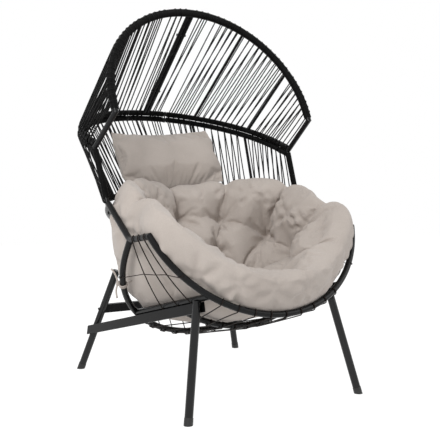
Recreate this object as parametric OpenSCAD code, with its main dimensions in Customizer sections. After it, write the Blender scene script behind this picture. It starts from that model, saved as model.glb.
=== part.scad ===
// Lounge armchair with a strung hood and back, a bowl seat of bent steel tube, four splayed legs,
// a tufted seat cushion and a head pillow. Millimetres, +Z up, the sitter faces -Y.

/* [Seat frame] */
// Half the width between the centre lines of the two arms
half_w = 420; // [380:1:460]
// Outer diameter of the bare tubes of the seat frame
tube_d = 22; // [18:1:28]
// Wall of the steel tubes
tube_wall = 1.5; // [1:0.1:2]
// Height of the front corner of each arm
arm_front_z = 590; // [560:1:620]
// Height of the bend at the rear of each arm
arm_rear_z = 568; // [545:1:590]
// Depth from the arm's front corner back to that bend
arm_len = 149; // [120:1:180]
// Depth from the bend back to the top corner of the seat frame
corner_run = 173; // [150:1:200]
// Height of the top corner of the seat frame
corner_z = 680; // [660:1:700]
// Radius of the bend at the rear of each arm
arm_bend_r = 45; // [35:1:60]
// Drop of the front hoop, measured in its own plane
front_hoop_rise = 308; // [280:1:330]
// Angle of the front hoop's plane, turned down from straight back
front_hoop_tilt = 120.9; // [110:0.1:130]
// Straight length at each end of the rear hoop
rear_hoop_leg = 58; // [30:1:80]
// Angle of the rear hoop's plane below level
rear_hoop_tilt = 55.5; // [50:0.1:62]
// Depth of the seat's back rail, measured in its own plane
seat_rail_rise = 331; // [300:1:360]
// Angle of that plane below level
seat_rail_tilt = 20; // [10:0.5:28]
// Half the distance between the side rails at the rear hoop
side_rail_rear_x = 306; // [290:1:330]
// Half the distance between the side rails at the front hoop
side_rail_front_x = 262; // [240:1:280]
// Where the middle hoop hangs along the side rails, from the rear end to the front end
middle_hoop_at = 0.55; // [0.45:0.01:0.65]
// Drop of the middle hoop below the side rails
middle_hoop_drop = 100; // [80:1:120]

/* [Back panel] */
// Outer diameter of the rails, posts and centre ribs under their wrap
rail_d = 16; // [14:1:18]
// Half the width of the top rail of the back and of the hood's rail
rail_half_w = 430; // [400:1:460]
// Straight length at each end of those two rails
rail_leg = 77; // [50:1:110]
// Angle of those two rails above level
rail_tilt = 18.8; // [12:0.1:24]
// Depth of the end of the back's top rail behind the seat frame's corner
post_lean = 95; // [80:1:120]
// Height of the end of the back's top rail above the seat frame's corner
post_rise = 192.5; // [170:0.5:220]
// Depth of the foot of each post behind the seat frame's corner
post_foot_back = 22; // [20:1:35]
// Height of the foot of each post above the seat frame's corner
post_foot_up = 15; // [14:1:25]
// Depth of the back's bottom rail, measured in its own plane
back_rail_rise = 315; // [290:1:330]
// Angle of the back's bottom rail above level
back_rail_tilt = 2; // [0:0.5:6]

/* [Hood] */
// Outer diameter of the hood's front arch under its wrap
arch_d = 22; // [20:1:26]
// Half the width of the arch between centre lines
arch_half_w = 418; // [380:1:450]
// Straight length at each foot of the arch
arch_leg = 50; // [30:1:70]
// Angle of the arch's plane above level
arch_tilt = 62.7; // [55:0.1:70]
// Height of the arch's foot above the end of the hood's rail
arch_foot_up = 108.5; // [95:0.5:125]
// Depth of the arch's foot in front of the end of the hood's rail
arch_foot_front = 145; // [130:1:160]
// Diameter of the bare side bars of the hood
side_bar_d = 20; // [18:1:22]
// Diameter of the ribs of the hood and the back
rib_d = 12; // [10:1:14]
// Distance along the arch from its middle to the upper ribs
arch_rib_upper = 240; // [220:1:260]
// Distance along the arch from its middle to the lower ribs
arch_rib_lower = 478; // [450:1:500]
// Distance along the hood's rail from its middle to the upper ribs
rail_rib_upper = 222; // [200:1:240]
// Distance along the hood's rail from its middle to the lower ribs
rail_rib_lower = 480; // [450:1:500]

/* [Stringing] */
// Diameter of the wicker cord
cord_d = 4; // [3:0.1:5]
// Spacing of the cords along the arch
hood_pitch = 24; // [20:0.5:40]
// Spacing of the cords along the back's top rail
back_pitch = 30; // [26:0.5:45]
// Spacing of the fore and aft cords under the seat
seat_pitch = 52; // [45:1:70]

/* [Legs] */
// Outer diameter of the legs
leg_d = 28; // [24:1:32]
// Half the distance between the front feet
front_foot_x = 350; // [320:1:380]
// Depth of the front feet in front of the seat frame's corner
front_foot_front = 448; // [420:1:470]
// Inward lean of the front legs, sideways travel for each unit of height
front_lean_x = 0.205; // [0.15:0.005:0.25]
// Backward lean of the front legs, travel for each unit of height
front_lean_y = 0.212; // [0.17:0.005:0.25]
// Half the distance between the rear feet
rear_foot_x = 372; // [340:1:400]
// Depth of the rear feet behind the seat frame's corner
rear_foot_back = 416; // [390:1:440]
// Inward lean of the rear legs, sideways travel for each unit of height
rear_lean_x = 0.295; // [0.25:0.005:0.33]
// Forward lean of the rear legs, travel for each unit of height
rear_lean_y = 0.239; // [0.2:0.005:0.28]
// Height of the cut tops of the rear legs
rear_leg_top = 404; // [380:1:430]
// Height of the side beams' flat section
beam_h = 34; // [28:1:40]
// Width of the side beams' flat section
beam_w = 24; // [20:1:28]
// Height of the middle of the rear cross beam
cross_beam_z = 248; // [235:1:265]
// Length of the plastic feet
foot_len = 22; // [15:1:30]

/* [Cushions] */
// Thickness of the seat cushion at its middle
cushion_t = 130; // [100:1:150]
// Depth of the tufts in the seat cushion
tuft_depth = 34; // [15:1:45]
// Width of the head pillow
pillow_w = 440; // [400:1:480]
// Height of the head pillow
pillow_h = 235; // [200:1:260]
// Thickness of the head pillow
pillow_t = 110; // [90:1:140]

/* [Hidden] */

// Clearance between pieces that touch along curved faces
fit = 0.2;
// Radius of a wrapped rail and of the wrapped arch
cord_r = cord_d / 2;
rail_r = rail_d / 2;
rail_wrap_r = rail_r + cord_d;
arch_r = arch_d / 2;
arch_wrap_r = arch_r + cord_d;
tube_r = tube_d / 2;
rib_r = rib_d / 2;
bar_r = side_bar_d / 2;
leg_r = leg_d / 2;
bolt_r = 3;
head_r = 5.5;
head_h = 4;

// Key points as depth and height, taken from the seat frame's top corner
corner = [0, corner_z];
arm_rear = [-corner_run, arm_rear_z];
arm_front = [-corner_run - arm_len, arm_front_z];
post_foot = [post_foot_back, corner_z + post_foot_up];
back_rail_end = [post_lean, corner_z + post_rise];
rail_stack = 2 * rail_wrap_r + 2 * fit;
hood_rail_end = back_rail_end + rail_stack * [-sin(rail_tilt), cos(rail_tilt)];
arch_foot = hood_rail_end + [-arch_foot_front, arch_foot_up];

// A bow is a round tube line in one plane: half width, radius, where its centre lies along the
// plane, half its angle, and the plane's base point and tilt
function round_bow(w, leg, base, tilt) = [w, w, leg, 90, base, tilt];
function flat_bow(w, rise, base, tilt) =
    let (r = (w * w + rise * rise) / (2 * rise)) [w, r, rise - r, asin(w / r), base, tilt];
arch = round_bow(arch_half_w, arch_leg, arch_foot, arch_tilt);
hood_rail = round_bow(rail_half_w, rail_leg, hood_rail_end, rail_tilt);
back_top = round_bow(rail_half_w, rail_leg, back_rail_end, rail_tilt);
back_bottom = flat_bow(half_w, back_rail_rise, post_foot, back_rail_tilt);
seat_rail = flat_bow(half_w, seat_rail_rise, corner, -seat_rail_tilt);
front_hoop_bow = flat_bow(half_w, front_hoop_rise, arm_front, -front_hoop_tilt);
rear_hoop_bow = round_bow(half_w, rear_hoop_leg, arm_rear, -rear_hoop_tilt);

function arc_len(b) = b[1] * b[3] * PI / 180;
function turn_at(b, s) = s / b[1] * 180 / PI;
// Place and heading on a bow at a distance s from its middle, to the right where s is positive
function bow_flat(b, s) = abs(s) <= arc_len(b)
    ? [b[1] * sin(turn_at(b, s)), b[2] + b[1] * cos(turn_at(b, s))]
    : [sign(s) * b[0], b[2] + b[1] * cos(b[3]) - (abs(s) - arc_len(b))];
function bow_flat_dir(b, s) = abs(s) <= arc_len(b)
    ? [cos(turn_at(b, s)), -sin(turn_at(b, s))] : [0, -sign(s)];
function in_space(b, p, lift = 0) = [p[0],
    b[4][0] + p[1] * cos(b[5]) - lift * sin(b[5]),
    b[4][1] + p[1] * sin(b[5]) + lift * cos(b[5])];
function bow_point(b, s) = in_space(b, bow_flat(b, s));
function bow_dir(b, s) = let (d = bow_flat_dir(b, s)) [d[0], d[1] * cos(b[5]), d[1] * sin(b[5])];
function bow_normal(b) = [0, -sin(b[5]), cos(b[5])];
// Distance along a flat bow to the place at a given distance from the middle plane
function station_at_x(b, x) = b[1] * asin(x / b[1]) * PI / 180;
function unit(v) = v / norm(v);
function mix(a, b, t) = a + (b - a) * t;
function mirrored(p) = [-p[0], p[1], p[2]];

// Side rails run from the rear hoop to the front hoop
side_rail_rear = bow_point(rear_hoop_bow, station_at_x(rear_hoop_bow, side_rail_rear_x));
side_rail_front = bow_point(front_hoop_bow, station_at_x(front_hoop_bow, side_rail_front_x));
middle_hoop_end = mix(side_rail_rear, side_rail_front, middle_hoop_at);
middle_hoop_bow = flat_bow(middle_hoop_end[0], middle_hoop_drop,
    [middle_hoop_end[1], middle_hoop_end[2]], -90);

// Legs as lines from the floor
front_foot = [front_foot_x, -front_foot_front, 0];
front_way = [-front_lean_x, front_lean_y, 1];
rear_foot = [rear_foot_x, rear_foot_back, 0];
rear_way = [-rear_lean_x, -rear_lean_y, 1];
function on_leg(foot, way, z) = foot + way * z;

// The side beams lie just under the side rails and meet the legs' axes
beam_wall = 1.5;
rail_slope = (side_rail_front[2] - side_rail_rear[2]) / (side_rail_front[1] - side_rail_rear[1]);
beam_drop = (tube_r + fit + beam_h / 2) * sqrt(1 + rail_slope * rail_slope);
function beam_meets(foot, way) =
    (side_rail_rear[2] - beam_drop + rail_slope * (foot[1] - side_rail_rear[1]))
    / (1 - rail_slope * way[1]);
beam_past = 16;
beam_front = on_leg(front_foot, front_way, beam_meets(front_foot, front_way)) - [9.5, 0, 0];
beam_rear = on_leg(rear_foot, rear_way, beam_meets(rear_foot, rear_way)) + [14.5, 0, 0];
beam_way = unit(beam_front - beam_rear);
beam_side = unit(cross(beam_way, [0, 0, 1]));
beam_up = cross(beam_side, beam_way);

// The part's origin is under the middle of its greatest depth
depth_front = in_space(front_hoop_bow, bow_flat(front_hoop_bow, 0))[1] - tube_r;
depth_rear = in_space(back_top, bow_flat(back_top, 0))[1] + rail_wrap_r;
origin_y = (depth_front + depth_rear) / 2;

// Building blocks

// Turns the upright direction to the way w, and moves to the point p
module at(p, w) {
    translate(p) rotate([0, acos(w[2] / norm(w)), atan2(w[1], w[0])]) children();
}

module rod(a, b, r, fn = 32) {
    at(a, b - a) cylinder(h = norm(b - a), r = r, $fn = fn);
}

module pipe(a, b, r, wall = tube_wall) {
    difference() {
        rod(a, b, r);
        rod(a - unit(b - a), b + unit(b - a), r - wall);
    }
}

// Everything on the far side of a plane through p that faces the way w
module beyond(p, w, size = 60) {
    at(p, w) translate([-size / 2, -size / 2, 0]) cube(size);
}

module in_bow_plane(b) {
    translate([0, b[4][0], b[4][1]]) rotate([b[5], 0, 0]) children();
}

module ring_face(r, hole) {
    difference() {
        circle(r, $fn = 32);
        if (hole > 0) circle(hole, $fn = 32);
    }
}

// A tube that follows a bow between two stations, hole is its bore's radius
module bow_tube(b, r, hole, s0, s1) {
    full = arc_len(b);
    a0 = turn_at(b, max(s0, b[3] < 90 ? s0 : -full));
    a1 = turn_at(b, min(s1, b[3] < 90 ? s1 : full));
    in_bow_plane(b) {
        if (a1 > a0)
            translate([0, b[2], 0]) rotate([0, 0, 90 - a1])
                rotate_extrude(angle = a1 - a0, $fn = 96) translate([b[1], 0]) ring_face(r, hole);
        if (b[3] == 90 && s1 > full) bow_end(b, r, hole, 1, max(0, s0 - full), s1 - full);
        if (b[3] == 90 && s0 < -full) bow_end(b, r, hole, -1, max(0, -s1 - full), -s0 - full);
    }
}

// The straight end of a half-round bow, from d0 to d1 past the end of its arc
module bow_end(b, r, hole, side, d0, d1) {
    translate([side * b[0], b[2] - d1, 0]) rotate([-90, 0, 0])
        linear_extrude(d1 - d0) ring_face(r, hole);
}

// The same line as a solid bar, to cut a seat for it in another piece
module bow_bar(b, r, s, reach = 30) {
    bow_tube(b, r, 0, s - reach, s + reach);
}

// A hexagon or button head bolt from a to b, with its head at a and its nut at b
module bolt(a, b, r = bolt_r) {
    way = unit(b - a);
    rod(a - way * 0.5, b + way * head_h, r);
    at(a - way * head_h, way) cylinder(h = head_h, r1 = head_r * 0.7, r2 = head_r, $fn = 32);
    at(b, way) cylinder(h = head_h, r = head_r, $fn = 6);
}

// Placement of the finished pieces

module placed() {
    translate([0, -origin_y, 0]) children();
}

module right_side() {
    placed() children();
}

module left_side() {
    placed() mirror([1, 0, 0]) children();
}

module both_sides() {
    children();
    mirror([1, 0, 0]) children();
}

// Seat frame

mitre_room = 12;
side_dir_arm = unit(arm_rear - arm_front);
side_dir_up = unit(corner - arm_rear);
arm_slope = atan2(side_dir_arm[1], side_dir_arm[0]);
bend_turn = atan2(side_dir_up[1], side_dir_up[0]) - arm_slope;
bend_back = arm_bend_r * tan(bend_turn / 2);
bend_centre = arm_rear - bend_back * side_dir_arm
    + arm_bend_r * [-side_dir_arm[1], side_dir_arm[0]];
function at_side(p) = [half_w, p[0], p[1]];
function side_way(d) = [0, d[0], d[1]];
corner_cut = unit(bow_dir(seat_rail, arc_len(seat_rail)) - side_way(side_dir_up));
arm_cut = unit(bow_dir(front_hoop_bow, arc_len(front_hoop_bow)) + side_way(side_dir_arm));

// The bend's wall is a little thicker than that of the straights, which run into it
bend_swell = 0.05;
bend_lap = 1;

// The side tube's line, a solid bar where the bore is 0
module side_line(r, bore, extra) {
    p0 = at_side(arm_front) - side_way(side_dir_arm) * extra;
    p1 = at_side(arm_rear - (bend_back - bend_lap) * side_dir_arm);
    p2 = at_side(arm_rear + (bend_back - bend_lap) * side_dir_up);
    p3 = at_side(corner) + side_way(side_dir_up) * extra;
    straight(p0, p1, r, bore);
    translate(at_side(bend_centre)) rotate([90, 0, 90]) rotate([0, 0, arm_slope - 90])
        rotate_extrude(angle = bend_turn, $fn = 96) translate([arm_bend_r, 0])
            ring_face(r + bend_swell, bore - bend_swell);
    straight(p2, p3, r, bore);
}

module straight(a, b, r, bore) {
    at(a, b - a) linear_extrude(norm(b - a)) ring_face(r, bore);
}

module seat_side_tube() {
    difference() {
        side_line(tube_r, tube_r - tube_wall, mitre_room);
        beyond(at_side(corner), -corner_cut);
        beyond(at_side(arm_front), -arm_cut);
    }
}

module seat_rail_tube() {
    end = arc_len(seat_rail);
    difference() {
        bow_tube(seat_rail, tube_r, tube_r - tube_wall, -end - mitre_room, end + mitre_room);
        both_sides() {
            beyond(at_side(corner), corner_cut);
            seat_bolt_hole(bolt_r + fit);
        }
    }
}

module front_hoop_tube() {
    end = arc_len(front_hoop_bow);
    difference() {
        bow_tube(front_hoop_bow, tube_r, tube_r - tube_wall, -end - mitre_room, end + mitre_room);
        both_sides() beyond(at_side(arm_front), arm_cut);
    }
}

module rear_hoop_tube() {
    end = arc_len(rear_hoop_bow) + rear_hoop_leg;
    difference() {
        bow_tube(rear_hoop_bow, tube_r, tube_r - tube_wall, -end, end);
        both_sides() side_line(tube_r + fit, 0, 0);
    }
}

module side_rail() {
    difference() {
        pipe(rail_at(0.01), rail_at(0.99), tube_r);
        bow_bar(rear_hoop_bow, tube_r + fit, station_at_x(rear_hoop_bow, side_rail_rear_x));
        bow_bar(front_hoop_bow, tube_r + fit, station_at_x(front_hoop_bow, side_rail_front_x));
        for (t = beam_bolt_places) rod(beam_bolt_low(t), beam_bolt_high(t), bolt_r + fit);
    }
}

// The middle hoop's ends stop at the rails and at the inner faces of the beams
module middle_hoop_tube() {
    end = arc_len(middle_hoop_bow);
    past = 40;
    cope = beam_up * tube_r / 2 - beam_side * past / 2;
    difference() {
        bow_tube(middle_hoop_bow, tube_r, tube_r - tube_wall, -end, end);
        both_sides() {
            rod(side_rail_rear, side_rail_front, tube_r + fit);
            beam_line(beam_rear + cope, beam_front + cope, beam_w + 2 * fit + past,
                beam_h + 2 * fit + tube_r, 0);
        }
    }
}

// Back panel

// Bolts that hold the back on the seat stand a little way in from the corners
seat_bolt_inset = 50;
seat_bolt_back = -18;
// Room under the heads and at the spacers' ends, where the rails curve away
seat_bolt_off = 1.4;
seat_bolt_above = bow_point(back_bottom, arc_len(back_bottom) - seat_bolt_inset);
seat_bolt_below = bow_point(seat_rail, arc_len(seat_rail) - seat_bolt_inset + seat_bolt_back);
seat_bolt_way = unit(seat_bolt_below - seat_bolt_above);
seat_bolt_top = seat_bolt_above - seat_bolt_way * (rail_r + seat_bolt_off);
seat_bolt_foot = seat_bolt_below + seat_bolt_way * (tube_r + seat_bolt_off);

module seat_bolt_hole(r) {
    rod(seat_bolt_top - seat_bolt_way * tube_r, seat_bolt_foot + seat_bolt_way * 5, r);
}

post_low = at_side(post_foot);
post_high = [rail_half_w, back_rail_end[0], back_rail_end[1]];
post_way = unit(post_high - post_low);
post_cut = unit(bow_dir(back_bottom, arc_len(back_bottom)) + post_way);
// The plane between the two rails that lie one on the other
rail_joint = [rail_half_w, (back_rail_end[0] + hood_rail_end[0]) / 2,
    (back_rail_end[1] + hood_rail_end[1]) / 2];
rail_up = bow_normal(back_top);

// Room round the corner of the seat frame, for what stands on it
module seat_corner_room() {
    p = at_side(corner);
    into_rail = bow_dir(seat_rail, arc_len(seat_rail));
    rod(p - side_way(side_dir_up) * 70, p + side_way(side_dir_up) * 8, tube_r + 2 * fit);
    rod(p - into_rail * 40, p + into_rail * 8, tube_r + 3 * fit);
}

// Cuts at the two ends of the post
cut_reach = 150;
module post_ends() {
    beyond(post_low, -post_cut);
    beyond(rail_joint - rail_up * fit / 2, rail_up, cut_reach);
    seat_corner_room();
}

module back_post() {
    difference() {
        pipe(post_low - post_way * mitre_room, post_high + post_way * 3 * mitre_room, rail_r);
        post_ends();
    }
}

module top_rail() {
    end = arc_len(back_top) + rail_leg;
    difference() {
        bow_tube(back_top, rail_r, rail_r - tube_wall, -end, end);
        both_sides() {
            rod(post_low, post_high + post_way * 3 * mitre_room, rail_r + fit);
            hood_back_bolt_holes(bolt_r + fit);
        }
    }
}

module bottom_rail() {
    end = arc_len(back_bottom);
    difference() {
        bow_tube(back_bottom, rail_r, rail_r - tube_wall, -end - mitre_room, end + mitre_room);
        both_sides() {
            beyond(post_low, post_cut);
            seat_corner_room();
            seat_bolt_hole(bolt_r + fit);
        }
    }
}

// A rib between stations of two bows, seated on both tubes
module rib(a, ra, sa, b, rb, sb) {
    difference() {
        pipe(bow_point(a, sa), bow_point(b, sb), rib_r);
        bow_bar(a, ra + fit, sa);
        bow_bar(b, rb + fit, sb);
    }
}

module back_rib(k) {
    rib(back_top, rail_r, back_rib_top[k], back_bottom, rail_r, back_rib_bottom[k]);
}

// Hood

arch_end = arc_len(arch) + arch_leg;
rail_end = arc_len(hood_rail) + rail_leg;
arch_corner = bow_point(arch, arch_end);
bar_low = bow_point(hood_rail, rail_end);
bar_way = unit(bar_low - arch_corner);
arch_corner_cut = unit(bow_dir(arch, arch_end) + bar_way);

module arch_end_cut() {
    beyond(arch_corner, arch_corner_cut);
}

module side_bar_line(r) {
    rod(arch_corner - bar_way * mitre_room, bar_low + bar_way * 2 * mitre_room, r);
}

module hood_arch() {
    difference() {
        bow_tube(arch, arch_r, arch_r - tube_wall, 0.1, arch_end + mitre_room);
        arch_end_cut();
    }
}

module hood_side_bar() {
    difference() {
        side_bar_line(bar_r);
        side_bar_line(bar_r - tube_wall);
        beyond(arch_corner, -arch_corner_cut);
        beyond(rail_joint + rail_up * fit / 2, -rail_up, cut_reach);
    }
}

module hood_rail() {
    difference() {
        bow_tube(hood_rail, rail_r, rail_r - tube_wall, 0.1, rail_end);
        side_bar_line(bar_r + fit);
        hood_back_bolt_holes(bolt_r + fit);
    }
}

// The two halves of the hood meet in a pair of ribs, side by side
centre_rib_x = rail_r + fit;
centre_rib_top = bow_point(arch, 0) + [centre_rib_x, 0, 0];
centre_rib_low = bow_point(hood_rail, 0) + [centre_rib_x, 0, 0];
centre_bolt_places = [0.2, 0.76];

module centre_rib_line(r) {
    rod(centre_rib_top, centre_rib_low, r);
}

module hood_centre_rib() {
    difference() {
        pipe(centre_rib_top, centre_rib_low, rail_r);
        for (x = [[centre_rib_top, arch_r + 2 * fit], [centre_rib_low, rail_r + 2 * fit]])
            rod(x[0] - [2 * rail_d, 0, 0], x[0] + [2 * rail_d, 0, 0], x[1]);
        for (t = centre_bolt_places) {
            p = mix(centre_rib_top, centre_rib_low, t);
            rod(p - [rail_r + 2, 0, 0], p + [rail_r + 2, 0, 0], bolt_r + fit);
        }
    }
}

module hood_bolt_set() {
    reach = centre_rib_x + rail_r;
    for (t = centre_bolt_places) {
        p = mix(centre_rib_top, centre_rib_low, t) - [centre_rib_x, 0, 0];
        bolt(p + [reach, 0, 0], p - [reach, 0, 0]);
    }
    back_bolt_set();
}

module hood_rib(arch_at, rail_at) {
    rib(arch, arch_r, arch_at, hood_rail, rail_r, rail_at);
}

// Bolts through the two rails, two near the middle and two near the corners
hood_bolt_in = 62.4;
hood_bolt_places = [90, rail_end - hood_bolt_in];
hood_bolt_reach = rail_wrap_r + rail_r + fit;
function hood_bolt_mid(s) = (bow_point(back_top, s) + bow_point(hood_rail, s)) / 2;

module hood_back_bolt_holes(r) {
    reach = rail_up * (hood_bolt_reach + 2 * head_h);
    for (s = hood_bolt_places) rod(hood_bolt_mid(s) - reach, hood_bolt_mid(s) + reach, r);
}

module back_bolt_set() {
    both_sides() for (s = hood_bolt_places) {
        p = hood_bolt_mid(s);
        bolt(p + rail_up * hood_bolt_reach, p - rail_up * hood_bolt_reach);
    }
}

module seat_bolt_set() {
    both_sides() {
        bolt(seat_bolt_top, seat_bolt_foot);
        difference() {
            rod(seat_bolt_above + seat_bolt_way * (rail_r + seat_bolt_off),
                seat_bolt_below - seat_bolt_way * (tube_r + seat_bolt_off), head_r);
            rod(seat_bolt_above, seat_bolt_below, bolt_r + fit);
        }
    }
}

// Wicker: each sector is the winding on its two tubes and the cords strung between them

// A close winding on a tube between two stations
module winding(b, r, s0, s1) {
    bow_tube(b, r + cord_d, r + fit, s0, s1);
}

// One straight cord between stations of two bows, on the face that out names
module strung_cord(a, ra, sa, b, rb, sb, out) {
    pa = bow_point(a, sa);
    pb = bow_point(b, sb);
    u = unit(pb - pa);
    rod(pa + unit(cross(bow_dir(a, sa), u)) * out * (ra + cord_r + 0.35),
        pb + unit(cross(bow_dir(b, sb), u)) * out * (rb + cord_r + 0.35), cord_r, 16);
}

no_bolt = 5000;

// Two layers of count cords. The outer face runs straight across, and the inner face comes back
// one place further on. Cords are left out where a bolt goes through
module strung(a, ra, a0, a1, b, rb, b0, b1, cells, first, count, bolt_at = no_bolt) {
    for (k = [0 : count - 1]) {
        sa = mix(a0, a1, (first + k) / cells);
        sb = mix(b0, b1, (first + k) / cells);
        next = mix(a0, a1, (first + k + 1) / cells);
        if (abs(abs(sa) - bolt_at) > 10) strung_cord(a, ra, sa, b, rb, sb, 1);
        if (k < count - 1 && abs(abs(next) - bolt_at) > 10 && abs(abs(sb) - bolt_at) > 10)
            strung_cord(a, ra, next, b, rb, sb, -1);
    }
}

top_cells = round(arch_rib_upper / hood_pitch);
middle_cells = round((arch_rib_lower - arch_rib_upper) / hood_pitch);
side_cells = round((arch_end - arch_rib_lower) / hood_pitch);
back_bolt_room = head_r + 0.6;

module hood_weave_top() {
    difference() {
        union() {
            winding(arch, arch_r, 0.1, arch_rib_upper - fit / 2);
            winding(hood_rail, rail_r, 0.1, rail_rib_upper - fit / 2);
            strung(arch, arch_r, 0, arch_rib_upper, hood_rail, rail_r, 0, rail_rib_upper,
                top_cells, 1, top_cells - 1, hood_bolt_places[0]);
        }
        centre_rib_line(rail_r + fit);
        hood_rib_bar(arch_rib_upper, rail_rib_upper);
        hood_back_bolt_holes(back_bolt_room);
    }
}

module hood_rib_bar(arch_at, rail_at) {
    rod(bow_point(arch, arch_at), bow_point(hood_rail, rail_at), rib_r + fit);
}

module hood_weave_middle() {
    difference() {
        union() {
            winding(arch, arch_r, arch_rib_upper + fit / 2, arch_rib_lower - fit / 2);
            winding(hood_rail, rail_r, rail_rib_upper + fit / 2, rail_rib_lower - fit / 2);
            strung(arch, arch_r, arch_rib_upper, arch_rib_lower,
                hood_rail, rail_r, rail_rib_upper, rail_rib_lower, middle_cells, 0.5, middle_cells);
        }
        hood_rib_bar(arch_rib_upper, rail_rib_upper);
        hood_rib_bar(arch_rib_lower, rail_rib_lower);
    }
}

module hood_weave_side() {
    difference() {
        union() {
            winding(arch, arch_r, arch_rib_lower + fit / 2, arch_end);
            winding(hood_rail, rail_r, rail_rib_lower + fit / 2, rail_end);
            strung(arch, arch_r, arch_rib_lower, arch_end,
                hood_rail, rail_r, rail_rib_lower, rail_end, side_cells, 1.45, side_cells - 1,
                hood_bolt_places[1]);
        }
        hood_rib_bar(arch_rib_lower, rail_rib_lower);
        hood_back_bolt_holes(back_bolt_room);
        arch_end_cut();
        side_bar_line(bar_r + fit);
    }
}

back_rib_top = [218, 468];
back_rib_bottom = [174, 365];
inner_cells = round(back_rib_top[0] / hood_pitch);

module back_rib_bar(k) {
    rod(bow_point(back_top, back_rib_top[k]), bow_point(back_bottom, back_rib_bottom[k]),
        rib_r + fit);
}

module back_weave_inner() {
    difference() {
        union() {
            winding(back_top, rail_r, 0.1, back_rib_top[0] - fit / 2);
            winding(back_bottom, rail_r, 0.1, back_rib_bottom[0] - fit / 2);
            strung(back_top, rail_r, 0, back_rib_top[0], back_bottom, rail_r, 0,
                back_rib_bottom[0], inner_cells, 0.5, inner_cells, hood_bolt_places[0]);
        }
        back_rib_bar(0);
        hood_back_bolt_holes(back_bolt_room);
    }
}

module back_weave_middle() {
    cells = round((back_rib_top[1] - back_rib_top[0]) / back_pitch);
    difference() {
        union() {
            winding(back_top, rail_r, back_rib_top[0] + fit / 2, back_rib_top[1] - fit / 2);
            winding(back_bottom, rail_r, back_rib_bottom[0] + fit / 2,
                back_rib_bottom[1] - fit / 2);
            strung(back_top, rail_r, back_rib_top[0], back_rib_top[1],
                back_bottom, rail_r, back_rib_bottom[0], back_rib_bottom[1],
                cells, 0.75, cells - 1);
        }
        back_rib_bar(0);
        back_rib_bar(1);
    }
}

// The winding on the post, mitred with that of the bottom rail and seated on the top rail
module post_winding() {
    high = post_high + post_way * 3 * mitre_room;
    top_end = arc_len(back_top) + rail_leg;
    difference() {
        straight(post_low - post_way * mitre_room, high, rail_wrap_r, rail_r + fit);
        beyond(post_low + post_cut * fit / 2, -post_cut);
        rod(post_high, post_high - bow_dir(back_top, top_end) * 3 * rail_r, rail_r + 2 * fit);
    }
}

module back_weave_side() {
    top_end = arc_len(back_top) + rail_leg;
    low_end = arc_len(back_bottom);
    cells = round((top_end - back_rib_top[1]) / back_pitch);
    difference() {
        union() {
            difference() {
                winding(back_top, rail_r, back_rib_top[1] + fit / 2, top_end);
                rod(post_low, post_high + post_way * 3 * mitre_room, rail_r + 2 * fit);
            }
            difference() {
                winding(back_bottom, rail_r, back_rib_bottom[1] + fit / 2, low_end + mitre_room);
                beyond(post_low - post_cut * fit / 2, post_cut);
            }
            post_winding();
            strung(back_top, rail_r, back_rib_top[1], top_end,
                back_bottom, rail_r, back_rib_bottom[1], low_end,
                cells, 0.45, cells - 1, hood_bolt_places[1]);
        }
        back_rib_bar(1);
        beyond(rail_joint - rail_up * fit / 2, rail_up, cut_reach);
        seat_corner_room();
        hood_back_bolt_holes(back_bolt_room);
        seat_bolt_hole(back_bolt_room);
    }
}

// Seat cords

band_w = 8;
cord_out = tube_r + cord_r + 2 * fit;

module band(p, way) {
    difference() {
        rod(p - way * band_w / 2, p + way * band_w / 2, tube_r + 1.8);
        rod(p - way * band_w, p + way * band_w, tube_r + fit);
    }
}

// A cord under the seat with the turns that hold it on both hoops
module seat_cord(a, sa, b, sb) {
    pa = bow_point(a, sa);
    pb = bow_point(b, sb);
    u = unit(pb - pa);
    rod(pa - unit(cross(bow_dir(a, sa), u)) * cord_out,
        pb - unit(cross(bow_dir(b, sb), u)) * cord_out, cord_r, 16);
    band(pa, bow_dir(a, sa));
    band(pb, bow_dir(b, sb));
}

seat_cord_count = round(3.6 * side_rail_front_x / 2 / seat_pitch);
aside = band_w + 2 * fit;
function seat_place(k) = (k - (seat_cord_count - 1) / 2) * seat_pitch;

module front_cords() {
    for (k = [0 : seat_cord_count - 1]) {
        s = seat_place(k);
        seat_cord(front_hoop_bow, s * 1.15, middle_hoop_bow, s);
    }
}

module middle_cords() {
    for (k = [0 : seat_cord_count - 1]) {
        s = seat_place(k);
        seat_cord(middle_hoop_bow, s + aside, rear_hoop_bow, s * 1.15);
    }
}

module rear_cords() {
    for (k = [0 : seat_cord_count - 1]) {
        s = seat_place(k);
        seat_cord(rear_hoop_bow, s * 1.15 + aside, seat_rail, s * 1.5);
    }
}

// Three cords at each side, bowed outward, with one cord laid across them
side_cord_tops = [0.29, 0.59, 0.88];
side_cord_feet = [0.42, 0.62, 0.76];
side_cord_bow = 10;

function side_cord_top(k) = at_side(mix(arm_rear, arm_front, side_cord_tops[k]));
function side_cord_foot(k) = mix(side_rail_rear, side_rail_front, side_cord_feet[k]);
function side_out(k) = unit(cross(side_cord_foot(k) - side_cord_top(k), [0, 1, 0]));
function side_cord_mid(k) = mix(side_cord_top(k), side_cord_foot(k), 0.5)
    + side_out(k) * (tube_r + side_cord_bow);

module cord_through(points) {
    for (k = [0 : len(points) - 2]) rod(points[k], points[k + 1], cord_r, 16);
    for (k = [1 : len(points) - 2]) translate(points[k]) sphere(r = cord_r + 0.8, $fn = 16);
}

cross_cord_rear = 430;
cross_cord_front = 345;
function cross_cord_at(k) = side_cord_mid(k) + side_out(k) * (cord_d - 0.8);
// Beside a hoop at p, square to it and to the cord that leaves for q
function beside(p, way, q) = let (n = unit(cross(way, q - p)))
    p + n * sign(n * side_out(1)) * cord_out;

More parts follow.
